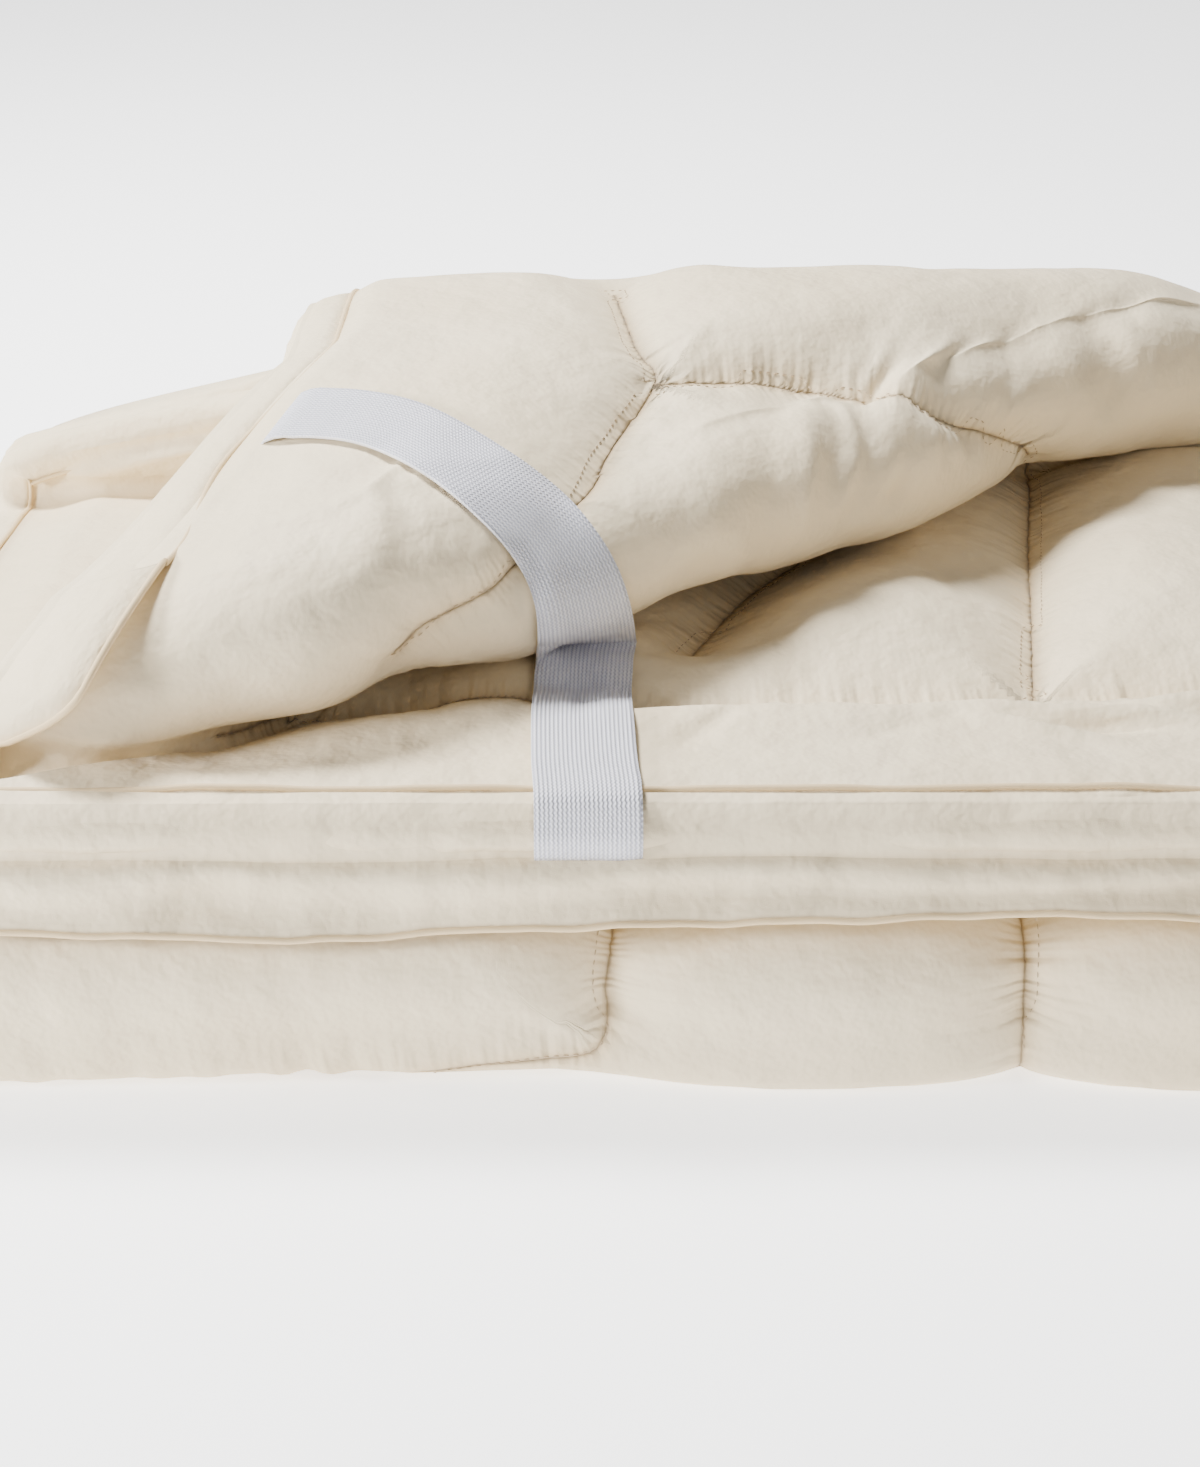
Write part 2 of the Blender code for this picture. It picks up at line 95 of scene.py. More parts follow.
# Stations of each stretch: name, fine steps, and every how many are kept on the upper and lower skins.
STATION_COLUMNS = ("stretch", "start", "end", "steps", "upper", "lower")
STATIONS = (
    ("second_layer", 0.0, 1.0, 108, 1, 9),
    ("bend_back", 0.0, 1.0, 18, 1, 2),
    ("tuck", 0.0, 1.0, 4, 1, 2),
    ("bend_fore", 0.0, 1.0, 24, 1, 2),
    ("top_layer", 0.0, 1.0, 132, 1, 6),
    ("back_turn", 0.0, 1.0, 8, 2, 1),
    ("first_layer", 0.0, 0.82, 10, 2, 1),
    ("first_layer", 0.82, 1.0, 16, 4, 1),
    ("bottom_nose", 0.0, 1.0, 30, 5, 1),
    ("floor_layer", 0.0, 0.12, 12, 4, 1),
    ("floor_layer", 0.12, 1.0, 14, 2, 2),
)
STRETCH_ORDER = ("second_layer", "bend_back", "tuck", "bend_fore", "top_layer", "back_turn",
                 "first_layer", "bottom_nose", "floor_layer")

# Quilting seams given point by point, on the upper skin (what faces up on the top layer).
UPPER_SEAMS = {
    "flap_long": (
        (-0.2472, -.174, .153), (-0.2292, -.176, .168), (-0.1992, -.156, .188), (-0.1712, -.109, .210),
        (-0.1562, -.059, .219), (-0.1332, .007, .228), (-0.1422, .041, .228), (-0.1482, .090, .220),
        (-0.1542, .150, .200),
    ),
    "flap_cross": (
        (-0.1332, .007, .228), (-0.0852, .020, .222), (-0.0272, .025, .213), (0.0058, .023, .204),
        (0.0348, .036, .186), (0.0678, .067, .158),
    ),
    "flap_short": ((0.0678, .067, .158), (0.0705, .076, .150), (0.0730, .085, .142)),
    "deck_long": (
        (0.0368, -.138, .120), (0.0518, -.040, .120), (0.0638, .040, .120), (0.0760, .110, .120),
        (0.0860, .170, .120),
    ),
    "deck_cross": (
        (-0.3400, -.165, .120), (-0.2700, -.152, .120), (-0.2132, -.148, .120), (-0.1782, -.150, .120),
        (-0.0882, -.150, .120), (-0.0182, -.146, .120), (0.0368, -.138, .120), (0.1018, -.132, .120),
        (0.2218, -.128, .120), (0.3518, -.130, .120), (0.5018, -.132, .120),
    ),
    "deck_left": (
        (-0.1182, -.083, .120), (-0.1002, -.040, .120), (-0.0822, -.003, .120), (-0.0582, .030, .120),
    ),
    "deck_right": (
        (0.2218, -.128, .120), (0.2338, -.020, .120), (0.2438, .080, .120), (0.2498, .150, .120),
    ),
    "deck_far": (
        (0.4068, -.131, .120), (0.4138, -.020, .120), (0.4198, .080, .120), (0.4238, .160, .120),
    ),
}
# Quilting seams on the lower skin (what shows on the bottom fold).
LOWER_SEAMS = {
    "nose_left": (
        (-0.1532, -.200, .079), (-0.1552, -.238, .076), (-0.1572, -.256, .062), (-0.1592, -.2655, .046),
        (-0.1582, -.265, .034), (-0.1590, -.263, .023), (-0.1660, -.261, .0165), (-0.1830, -.260, .0145),
        (-0.2232, -.258, .012), (-0.2782, -.252, .008), (-0.3382, -.245, .004), (-0.4082, -.235, .001),
    ),
    "nose_middle": (
        (0.0178, -.180, .079), (0.0188, -.238, .076), (0.0188, -.258, .062), (0.0188, -.267, .046),
        (0.0188, -.264, .028), (0.0188, -.250, .008), (0.0188, -.200, .000),
    ),
}
# Seams that run straight along the topper: place across, from (stretch, part), to (stretch, part).
LOWER_LINES = (
    (0.674, "first_layer", 0.0, "floor_layer", 0.9),
    (0.853, "first_layer", 0.0, "floor_layer", 0.9),
)
BACK_LINES = (
    (0.316, "top_layer", 0.62, "back_turn", 1.0),
    (0.495, "top_layer", 0.55, "back_turn", 1.0),
    (0.674, "top_layer", 0.05, "back_turn", 1.0),
    (0.853, "top_layer", 0.05, "back_turn", 1.0),
)
SEAM_OFFSET = 4.0            # keeps the lengths along different seams apart
SEAM_SPACING = 0.0015
VALLEY = 0.74                # part of the thickness that a seam takes away
VALLEY_ROUND = 0.0030
VALLEY_WIDTH = 0.0210
CROWN = 0.0065
CROWN_REACH = 0.040
PUCKER_HEIGHT = 0.0022
PUCKER_PITCH = 0.0105
PUCKER_REACH = 0.016
PUCKER_START = 0.004
PUCKER_SEEDS = {1: 5, -1: 9}
SEED_STEP = 13.7             # how far apart the random clouds of two seeds lie
# Uneven filling: height and size, with a seed for the upper and the lower skin.
LUMPS = ((0.0016, 0.075, {1: 1, -1: 2}), (0.0007, 0.028, {1: 3, -1: 4}))
PLAIN_EDGE = 0.022           # nothing is quilted nearer to the side edges
EDGE_FADE = 0.033
END_FADE = 0.030
MEETING_GAP = 0.020          # added to the gap where two seams meet, so that their lines stay clean

# Gathers round the top nose: heights, pitches and where they start across.
GATHER_FINE, GATHER_BROAD = 0.0040, 0.0042
FINE_PITCH, BROAD_PITCH = 0.0135, 0.034
GATHER_FROM, GATHER_OVER, GATHER_TO = 0.10, 0.10, 0.98
GATHER_STATIONS = 26
GATHER_END = 0.05

# The bottom nose sunk onto the floor.
NOSE_POWER = 5.0
NOSE_PUSH = 0.0055
NOSE_PUSH_OVER = 0.035
NOSE_REACH = 0.06
NOSE_ABOVE = 0.004           # counted with the nose this far above the first layer
NOSE_FULLEST = 1.3
FLOOR_FADE = (0.15, 0.008, 0.030)    # least valley by the floor, where it starts and how soon it is whole

# Soft ridges (+) and troughs (-) listed one by one on the upper skin: both ends, width and height.
FOLD_ROWS = (
    ((-0.40, -.185, .1290), (0.00, -.182, .1290), 0.028, 0.0060),
    ((-0.17, -.166, .1270), (0.02, -.163, .1270), 0.019, 0.0085),
    ((0.00, -.160, .1270), (0.52, -.155, .1270), 0.019, 0.0100),
    ((0.150, -.165, .1300), (0.040, -.160, .1290), 0.0042, 0.0125),
    ((0.180, -.192, .1280), (0.002, -.168, .1290), 0.0045, 0.0120),
    ((0.060, -.200, .1290), (0.000, -.178, .1290), 0.0042, 0.0095),
    ((0.160, -.148, .1270), (0.030, -.166, .1290), 0.0050, -0.0080),
    ((0.150, -.176, .1280), (0.035, -.186, .1290), 0.0050, -0.0070),
    ((-0.130, -.205, .1290), (-0.100, -.172, .1270), 0.0050, -0.0030),
    ((-0.060, -.200, .1290), (-0.010, -.180, .1280), 0.0060, -0.0024),
    ((-0.240, -.152, .1230), (-0.175, -.128, .1230), 0.030, 0.0130),
    ((-0.080, -.095, .121), (0.012, -.040, .121), 0.045, 0.0110),
    ((-0.132, -.098, .121), (-0.150, -.075, .121), 0.020, 0.0050),
    ((0.095, -.080, .121), (0.130, 0.050, .121), 0.050, 0.0090),
    ((0.290, -.070, .121), (0.310, 0.080, .121), 0.060, 0.0080),
    ((-0.061, .020, .2130), (-0.043, -.018, .1960), 0.0048, -0.0075),
    ((-0.043, -.018, .1960), (-0.047, -.040, .1650), 0.0048, -0.0065),
    ((-0.040, .022, .2090), (-0.018, -.004, .1900), 0.0048, -0.0070),
    ((-0.018, -.004, .1900), (-0.020, -.022, .1620), 0.0048, -0.0060),
    ((-0.088, .018, .2180), (-0.076, -.020, .2020), 0.0055, -0.0036),
    ((0.000, .028, .1980), (0.012, .006, .1800), 0.0050, -0.0036),
)


def smooth(value):
    """Ease from 0 to 1."""
    value = np.clip(value, 0.0, 1.0)
    return value * value * (3.0 - 2.0 * value)


def unit(vectors):
    """Vectors scaled to length 1."""
    return vectors / np.maximum(np.linalg.norm(vectors, axis=-1, keepdims=True), 1e-12)


def fold_values(across):
    """The fold table read at one place across the width, on smooth curves."""
    rows = np.array(FOLD_TABLE, dtype=float)
    places = rows[:, 0]
    slopes = np.gradient(rows, places, axis=0)
    k = int(np.clip(np.searchsorted(places, across) - 1, 0, len(places) - 2))
    span = places[k + 1] - places[k]
    u = (across - places[k]) / span
    low, high = rows[k], rows[k + 1]
    blend = (
        (2 * u ** 3 - 3 * u ** 2 + 1) * low
        + (u ** 3 - 2 * u ** 2 + u) * span * slopes[k]
        + (3 * u ** 2 - 2 * u ** 3) * high
        + (u ** 3 - u ** 2) * span * slopes[k + 1]
    )
    straight = low + (high - low) * u
    values = dict(zip(FOLD_COLUMNS, blend))
    for name in ("turn", "tuck"):
        values[name] = straight[FOLD_COLUMNS.index(name)]
    return values


def pleat_radius(fold):
    """Radius of the pleat's two bends."""
    return fold["rise"] / (2.0 * (1.0 - math.cos(math.radians(fold["turn"]))))


def hidden_fold_y(fold):
    """Roughly where the hidden fold lies."""
    lead = pleat_radius(fold) * (2.0 * math.sin(math.radians(fold["turn"])) - 1.0)
    return fold["nose_y"] + (fold["tuck"] - lead) * USUAL_STRETCH


def stretches(across):
    """Each stretch of one column's middle line, as dense rows of (y, z, drift)."""
    fold = fold_values(across)
    low, high = max(across - SLOPE_STEP, 0.0), min(across + SLOPE_STEP, WIDTH)
    slope = (hidden_fold_y(fold_values(high)) - hidden_fold_y(fold_values(low))) / (high - low)
    stretch = math.sqrt(1.0 + slope * slope)
    turn = math.radians(fold["turn"])
    radius = pleat_radius(fold)
    phase = np.linspace(0.0, 1.0, DENSE + 1)
    back = np.column_stack([radius * np.sin(turn * phase), radius * (1.0 - np.cos(turn * phase))])
    tuck_end = back[-1] + fold["tuck"] * np.array([math.cos(turn), math.sin(turn)])
    tuck = back[-1] + (tuck_end - back[-1]) * phase[:, None]
    angle = turn * (1.0 - phase)
    fore = np.column_stack([
        radius * (2.0 * math.sin(turn) - np.sin(angle)) + fold["tuck"] * math.cos(turn),
        fold["rise"] + fold["tuck"] * math.sin(turn) - radius * (1.0 - np.cos(angle)),
    ])
    front = radius * (2.0 * math.sin(turn) - 1.0) + fold["tuck"] * math.cos(turn)
    shift = fold["nose_y"] + (HALF_FOLD - front) * stretch
    bends = [np.column_stack([shift + part[:, 0] * stretch, SECOND_LAYER_Z + part[:, 1]])
             for part in (back, tuck, fore)]
    start = np.array([FRONT_EDGE_Y, SECOND_LAYER_Z])
    lead = start + (bends[0][0] - start) * phase[:, None]
    parts = [lead] + bends
    path = np.concatenate(parts)
    travel = np.concatenate([[0.0], np.cumsum(np.linalg.norm(np.diff(path, axis=0), axis=1))])
    drift = DRIFT_AT_NOSE * smooth(travel / travel[-1])
    size = DENSE + 1
    rows = {name: np.column_stack([part, drift[k * size:(k + 1) * size]])
            for k, (name, part) in enumerate(zip(STRETCH_ORDER, parts))}
    nose = rows["bend_fore"][-1]
    crest_y = max(fold["crest_y"], nose[0] + LEAST_TOP)
    crest_z = max(fold["crest_z"], nose[1])
    foot_z = FIRST_LAYER_Z + BACK_TURN
    round_off = min(fold["back_y"] - crest_y, crest_z - foot_z)
    rise = np.column_stack([
        nose[0] + (crest_y - nose[0]) * phase,
        nose[1] + (crest_z - nose[1]) * smooth(phase),
        DRIFT_AT_NOSE + (DRIFT_AT_CREST - DRIFT_AT_NOSE) * phase,
    ])
    quarter = math.pi / 2.0 * phase
    drop = smooth((phase - DRIFT_DROPS) / (1.0 - DRIFT_DROPS))
    over = np.column_stack([
        fold["back_y"] - round_off * (1.0 - np.sin(quarter)),
        crest_z - round_off * (1.0 - np.cos(quarter)),
        DRIFT_AT_CREST + (DRIFT_BELOW - DRIFT_AT_CREST) * drop,
    ])
    foot = np.array([[fold["back_y"], foot_z, DRIFT_BELOW]])
    rows["top_layer"] = np.concatenate([rise, over[1:], foot])
    rows["back_turn"] = np.column_stack([
        fold["back_y"] - BACK_TURN * (1.0 - np.cos(quarter)),
        FIRST_LAYER_Z + BACK_TURN * (1.0 - np.sin(quarter)),
        np.full(size, DRIFT_BELOW),
    ])
    nose_radius = (FIRST_LAYER_Z - FLOOR_LAYER_Z) / 2.0
    half_turn = math.pi * phase
    rows["bottom_nose"] = np.column_stack([
        BOTTOM_NOSE_Y - nose_radius * np.sin(half_turn),
        FLOOR_LAYER_Z + nose_radius * (1.0 + np.cos(half_turn)),
        np.full(size, DRIFT_BELOW),
    ])
    rows["first_layer"] = np.array([
        rows["back_turn"][-1],
        rows["bottom_nose"][0],
    ])
    rows["floor_layer"] = np.array([
        rows["bottom_nose"][-1],
        (fold["back_y"] - FAR_END_INSET, FLOOR_LAYER_Z, DRIFT_BELOW),
    ])
    return rows


def sampled(rows, places):
    """Rows read at parts from 0 to 1 of their length."""
    steps = np.linalg.norm(np.diff(rows[:, :2], axis=0), axis=1)
    travel = np.concatenate([[0.0], np.cumsum(steps)])
    wanted = np.asarray(places) * travel[-1]
    return np.column_stack([np.interp(wanted, travel, column) for column in rows.T])


def column_places():
    """Places across the width, close together where the top layer slants."""
    places = [0.0]
    for low, high, spacing in COLUMN_BANDS:
        count = int(round((high - low) / spacing))
        places += [low + (high - low) * (k + 1) / count for k in range(count)]
    return np.array(places)


def station_list():
    """Every station as (stretch, part of it, kept on the upper skin, kept on the lower skin)."""
    result = [("second_layer", 0.0, True, True)]
    for row in STATIONS:
        values = dict(zip(STATION_COLUMNS, row))
        for k in range(1, values["steps"] + 1):
            last = k == values["steps"]
            part = values["start"] + (values["end"] - values["start"]) * k / values["steps"]
            upper, lower = (last or k % values[skin] == 0 for skin in ("upper", "lower"))
            result.append((values["stretch"], part, upper, lower))
    return result


def eased(rows, times, axis=0):
    """Rows evened out along one axis, with both ends kept."""
    rows = np.moveaxis(np.array(rows, dtype=float), axis, 0)
    for _ in range(times):
        rows[1:-1] = (rows[:-2] + 2.0 * rows[1:-1] + rows[2:]) / 4.0
    return np.moveaxis(rows, 0, axis)


class Topper:
    """The folded sheet on a fine grid: middle surface, normals, travel and thickness."""

    def __init__(self):
        self.places = column_places()
        self.stations = station_list()
        self.names = [station[0] for station in self.stations]
        parts = {name: [s[1] for s in self.stations if s[0] == name] for name in STRETCH_ORDER}
        columns = []
        for place in self.places:
            rows = stretches(place)
            column = np.concatenate([sampled(rows[name], parts[name]) for name in STRETCH_ORDER])
            reach = max(0.0, 1.0 - place / DRIFT_REACH) ** DRIFT_FADE
            columns.append(np.column_stack([place + column[:, 2] * reach, column[:, 0], column[:, 1]]))
        middle = np.array(columns)
        middle -= np.array([MIDDLE_X, MIDDLE_Y, 0.0])
        middle = eased(middle, 8, axis=0)
        middle = eased(middle, 2, axis=1)
        self.middle = middle
        wide = np.gradient(middle, self.places, axis=0)
        long = np.gradient(middle, axis=1)
        self.normals = unit(np.cross(wide, long))
        steps = np.linalg.norm(np.diff(middle, axis=1), axis=2)
        self.travel = np.concatenate([np.zeros((len(self.places), 1)), np.cumsum(steps, axis=1)], axis=1)
        self.above, self.below = self.thickness()

    def squeezed(self, names):
        """Factors for the thickness on the inside of a tight bend made of these stretches."""
        spots = [j for j, name in enumerate(self.names) if name in names]
        factors = np.ones(len(self.names))
        for k, j in enumerate(spots):
            factors[j] -= SQUEEZE * math.sin(math.pi * (k + 0.5) / len(spots)) ** 0.5
        return factors

    def thickness(self):
        """Distances from the middle surface to the upper and lower skins, before the quilting."""
        side = smooth(np.minimum(self.places, WIDTH - self.places) / SIDE_ROLL)[:, None]
        far = smooth((self.travel[:, -1:] - self.travel) / SIDE_ROLL)
        front = smooth(self.travel / SIDE_ROLL)
        in_pleat = np.array([name in ("bend_back", "tuck", "bend_fore") for name in self.names])
        body = np.where(in_pleat, HALF_FOLD, HALF_SOFT)
        value = HALF_SIDE + (body - HALF_SIDE) * np.minimum(side, far)
        edge = HALF_SIDE + (HALF_FRONT - HALF_SIDE) * side
        half = edge + (value - edge) * front
        above = half * self.squeezed(("bend_back",))
        below = half * self.squeezed(("bend_fore",)) * self.squeezed(("back_turn",))
        return eased(above, 3, axis=1), eased(below, 3, axis=1)

    def index(self, name, part):
        """The station nearest to a part of a stretch."""
        spots = [j for j, station in enumerate(self.stations) if station[0] == name]
        return min(spots, key=lambda j: abs(self.stations[j][1] - part))

    def skin(self, side):
        """The upper (1) or lower (-1) skin's points, before the quilting."""
        reach = self.above if side > 0 else self.below
        return self.middle + self.normals * (reach * side)[..., None]


def grid_tree(points):
    """A search tree over a grid of points."""
    across, along = points.shape[:2]
    faces = []
    for i in range(across - 1):
        for j in range(along - 1):
            a = i * along + j
            faces.append((a, a + along, a + along + 1, a + 1))
    return BVHTree.FromPolygons([tuple(p) for p in points.reshape(-1, 3)], faces)


def curve_through(route, spacing):
    """Points at even spacing on a smooth curve through the route."""
    route = [np.array(point, dtype=float) for point in route]
    route = [2 * route[0] - route[1]] + route + [2 * route[-1] - route[-2]]
    points = []
    for m in range(len(route) - 3):
        p0, p1, p2, p3 = route[m:m + 4]
        count = max(2, int(np.linalg.norm(p2 - p1) / spacing))
        for k in range(count):
            u = k / count
            points.append(0.5 * (2 * p1 + (p2 - p0) * u + (2 * p0 - 5 * p1 + 4 * p2 - p3) * u ** 2
                                 + (3 * p1 - p0 - 3 * p2 + p3) * u ** 3))
    points.append(route[-2])
    return np.array(points)


def laid(route, tree):
    """A route drawn on a skin, at even spacing."""
    points = curve_through(route, SEAM_SPACING)
    points = np.array([tree.find_nearest(Vector(point))[0] for point in points])
    points = eased(points, 3)
    return np.array([tree.find_nearest(Vector(point))[0] for point in points])


def column_line(topper, skin, place, first, first_part, last, last_part):
    """Points of a skin along the topper at one place across."""
    i = int(np.argmin(np.abs(topper.places - place)))
    a, b = topper.index(first, first_part), topper.index(last, last_part)
    return skin[i, a:b + 1]


def seam_field(skin, normals, lines):
    """For a skin's points: distance to the nearest seam, side of it, length along it, clear of meetings."""
    samples, tangents, lengths = [], [], []
    for number, line in enumerate(lines):
        steps = np.linalg.norm(np.diff(line, axis=0), axis=1)
        samples.append(line)
        tangents.append(unit(np.gradient(line, axis=0)))
        lengths.append(np.concatenate([[0.0], np.cumsum(steps)]) + SEAM_OFFSET * (number + 0.25))
    samples, tangents = np.concatenate(samples), np.concatenate(tangents)
    lengths = np.concatenate(lengths)
    tree = KDTree(len(samples))
    for k, point in enumerate(samples):
        tree.insert(point, k)
    tree.balance()
    flat = skin.reshape(-1, 3)
    found = [tree.find(point) for point in flat]
    nearest = np.array([item[1] for item in found])
    away = flat - samples[nearest]
    along = np.einsum("ij,ij->i", away, tangents[nearest])
    distance = np.linalg.norm(away, axis=1)
    side = np.sign(np.einsum("ij,ij->i", np.cross(tangents[nearest], normals.reshape(-1, 3)), away))
    shape = skin.shape[:2]
    owner = np.floor(lengths[nearest] / SEAM_OFFSET).reshape(shape)
    meeting = np.zeros(shape)
    meeting[1:] += owner[1:] != owner[:-1]
    meeting[:-1] += owner[1:] != owner[:-1]
    meeting[:, 1:] += owner[:, 1:] != owner[:, :-1]
    meeting[:, :-1] += owner[:, 1:] != owner[:, :-1]
    meeting = np.minimum(meeting, 1.0)
    for _ in range(2):
        wider = meeting.copy()
        wider[1:-1, 1:-1] = np.max([meeting[1:-1, 1:-1], meeting[2:, 1:-1], meeting[:-2, 1:-1],
                                    meeting[1:-1, 2:], meeting[1:-1, :-2]], axis=0)
        meeting = wider
    distance = distance.reshape(shape)
    signed = side.reshape(shape) * distance
    length = (lengths[nearest] + along).reshape(shape)
    return distance, signed, length, 1.0 - eased(eased(meeting, 2, 0), 2, 1)


def wave(values, seed):
    """Smooth random values from -1 to 1 along a line, with a step of 1."""
    table = np.random.default_rng(seed).uniform(-1.0, 1.0, 4096)
    base = np.floor(values).astype(int)
    u = smooth(values - base)
    return table[base % 4096] * (1.0 - u) + table[(base + 1) % 4096] * u


def cloud(points, size, seed):
    """Smooth random values in space."""
    flat = points.reshape(-1, 3) / size + seed * SEED_STEP
    return np.array([noise.noise(Vector(point)) for point in flat]).reshape(points.shape[:2])


def ridges(skin, rows):
    """Heights of the listed soft ridges and troughs."""
    flat = skin.reshape(-1, 3)
    total = np.zeros(len(flat))
    for start, end, width, height in rows:
        a, b = np.array(start), np.array(end)
        way = b - a
        part = np.clip(((flat - a) @ way) / (way @ way), 0.0, 1.0)
        gap = np.linalg.norm(flat - a - part[:, None] * way, axis=1)
        taper = np.sin(np.pi * np.clip(part * 0.9 + 0.05, 0.0, 1.0)) ** 0.7
        total += height * taper * np.exp(-(gap / width) ** 2)
    return total.reshape(skin.shape[:2])


def settled(skin):
    """The bottom fold sunk onto the floor: its lower front corner is fuller than a round."""
    ahead = BOTTOM_NOSE_Y - MIDDLE_Y - skin[..., 1]
    under = (FIRST_LAYER_Z + FLOOR_LAYER_Z) / 2.0 - skin[..., 2]
    reach = np.hypot(ahead, under)
    share = np.clip(ahead / np.maximum(reach, 1e-9), 0.0, 1.0)
    drop = np.clip(under / np.maximum(reach, 1e-9), 0.0, 1.0)
    fuller = (share ** NOSE_POWER + drop ** NOSE_POWER + 1e-9) ** (-1.0 / NOSE_POWER)
    inside = (ahead > 0.0) & (under > 0.0) & (reach < NOSE_REACH)
    factor = np.where(inside, np.minimum(fuller, NOSE_FULLEST), 1.0)
    skin = skin.copy()
    skin[..., 1] -= ahead * (factor - 1.0)
    skin[..., 2] -= under * (factor - 1.0)
    low = skin[..., 2] < FIRST_LAYER_Z + HALF_SOFT + NOSE_ABOVE
    skin[..., 1] -= np.where(low, NOSE_PUSH * smooth(ahead / NOSE_PUSH_OVER), 0.0)
    return skin


def gathers(topper, base):
    """Small gathers across the round of the top nose."""
    weight = np.zeros(len(topper.names))
    fore = [j for j, name in enumerate(topper.names) if name == "bend_fore"]
    over = [j for j, name in enumerate(topper.names) if name == "top_layer"]
    over = over[:GATHER_STATIONS]
    for k, j in enumerate(fore):
        weight[j] = smooth((k / len(fore) - 0.25) / 0.3)
    for k, j in enumerate(over):
        weight[j] = smooth(1.0 - k / len(over))
    side = smooth((topper.places - GATHER_FROM) / GATHER_OVER)
    side = side * smooth((GATHER_TO - topper.places) / GATHER_END)
    fine = topper.places[:, None] / FINE_PITCH + 2.2 * cloud(base, 0.060, 6)
    broad = topper.places[:, None] / BROAD_PITCH + 1.5 * cloud(base, 0.080, 7)
    part = smooth(cloud(base, 0.070, 8) * 2.2 + 0.4)
    height = GATHER_FINE * wave(fine, 41) * part + GATHER_BROAD * wave(broad, 42)
    return height * weight[None, :] * side[:, None]


def quilted(topper, side, lines, rows):
    """One skin with its seams, crown, puckers and folds, and its seam field."""
    base = topper.skin(side)
    reach = topper.above if side > 0 else topper.below
    distance, signed, length, clear = seam_field(base, topper.normals, lines)
    soft = np.sqrt(distance ** 2 + VALLEY_ROUND ** 2) - VALLEY_ROUND
    valley = np.exp(-soft / VALLEY_WIDTH)
    edge = smooth((np.minimum(topper.places, WIDTH - topper.places) - PLAIN_EDGE) / EDGE_FADE)[:, None]
    ends = smooth(topper.travel / END_FADE) * smooth((topper.travel[:, -1:] - topper.travel) / END_FADE)
    edge = edge * ends
    if side < 0:
        least, start, over = FLOOR_FADE
        valley = valley * (least + (1.0 - least) * smooth((base[..., 2] - start) / over))
    height = -VALLEY * reach * valley * edge
    height += CROWN * edge * (1.0 - np.exp(-distance / CROWN_REACH))
    pucker = wave(length / PUCKER_PITCH, PUCKER_SEEDS[side]) * np.exp(-distance / PUCKER_REACH)
    pucker = pucker * (1.0 - np.exp(-distance / PUCKER_START))
    height += PUCKER_HEIGHT * pucker * edge * clear
    height += gathers(topper, base) if side > 0 else 0.0
    for lump, size, seeds in LUMPS:
        height += lump * cloud(base, size, seeds[side]) * edge
    if rows:
        height += ridges(base, rows) * edge
    skin = base + topper.normals * (height * side)[..., None]
    gap = distance + MEETING_GAP * (1.0 - clear) * (distance > PUCKER_START)
    return (skin if side > 0 else settled(skin)), gap, signed, length


def outline(topper):
    """Grid positions once round the topper's edge."""
    across, along = topper.middle.shape[:2]
    front = [(i, 0) for i in range(across)]
    right = [(across - 1, j) for j in range(1, along)]
    far = [(i, along - 1) for i in range(across - 2, -1, -1)]
    left = [(0, j) for j in range(along - 2, 0, -1)]
    return front + right + far + left


def outward(topper, spots):
    """Directions that point out of the edge, in the plane of the cloth."""
    across, along = topper.middle.shape[:2]
    width_way = np.gradient(topper.middle, axis=0)
    length_way = np.gradient(topper.middle, axis=1)
    result = []
    for i, j in spots:
        wide, long = width_way[i, j], length_way[i, j]
        total = np.zeros(3)
        if i in (0, across - 1):
            clear = wide - long * np.dot(wide, long) / np.dot(long, long)
            total += unit(clear) * (1.0 if i else -1.0)
        if j in (0, along - 1):
            clear = long - wide * np.dot(wide, long) / np.dot(wide, wide)
            total += unit(clear) * (1.0 if j else -1.0)
        result.append(total)
    return np.array(result)


def add_mesh(name, points, faces, material, layers=None, uvs=None):
    """A mesh object with its faces outwards, with values on its points and a map in metres."""
    mesh = bpy.data.meshes.new(name)
    mesh.from_pydata([tuple(point) for point in points], [], faces)
    for layer, values in (layers or {}).items():
        attribute = mesh.attributes.new(layer, "FLOAT", "POINT")
        attribute.data.foreach_set("value", np.asarray(values, dtype=np.float32))
    if uvs is not None:
        uv_map = mesh.uv_layers.new(name="cloth_map")
        corners = np.empty(len(mesh.loops), dtype=np.int32)
        mesh.loops.foreach_get("vertex_index", corners)
        uv_map.data.foreach_set("uv", np.asarray(uvs, dtype=np.float32)[corners].ravel())
    work = bmesh.new()
    work.from_mesh(mesh)
    bmesh.ops.recalc_face_normals(work, faces=work.faces)
    work.to_mesh(mesh)
    work.free()
    mesh.shade_smooth()
    mesh.materials.append(material)
    thing = bpy.data.objects.new(name, mesh)
    bpy.context.scene.collection.objects.link(thing)
    return thing


def zipped(first, second, order_first, order_second):
    """Triangles between two lines of points; the orders say how far along each point is."""
    faces = []
    a = b = 0
    while a < len(first) - 1 or b < len(second) - 1:
        at_end = b == len(second) - 1
        if at_end or (a < len(first) - 1 and order_first[a + 1] <= order_second[b + 1]):
            faces.append((first[a], first[a + 1], second[b]))
            a += 1
        else:
            faces.append((first[a], second[b + 1], second[b]))
            b += 1
    return faces


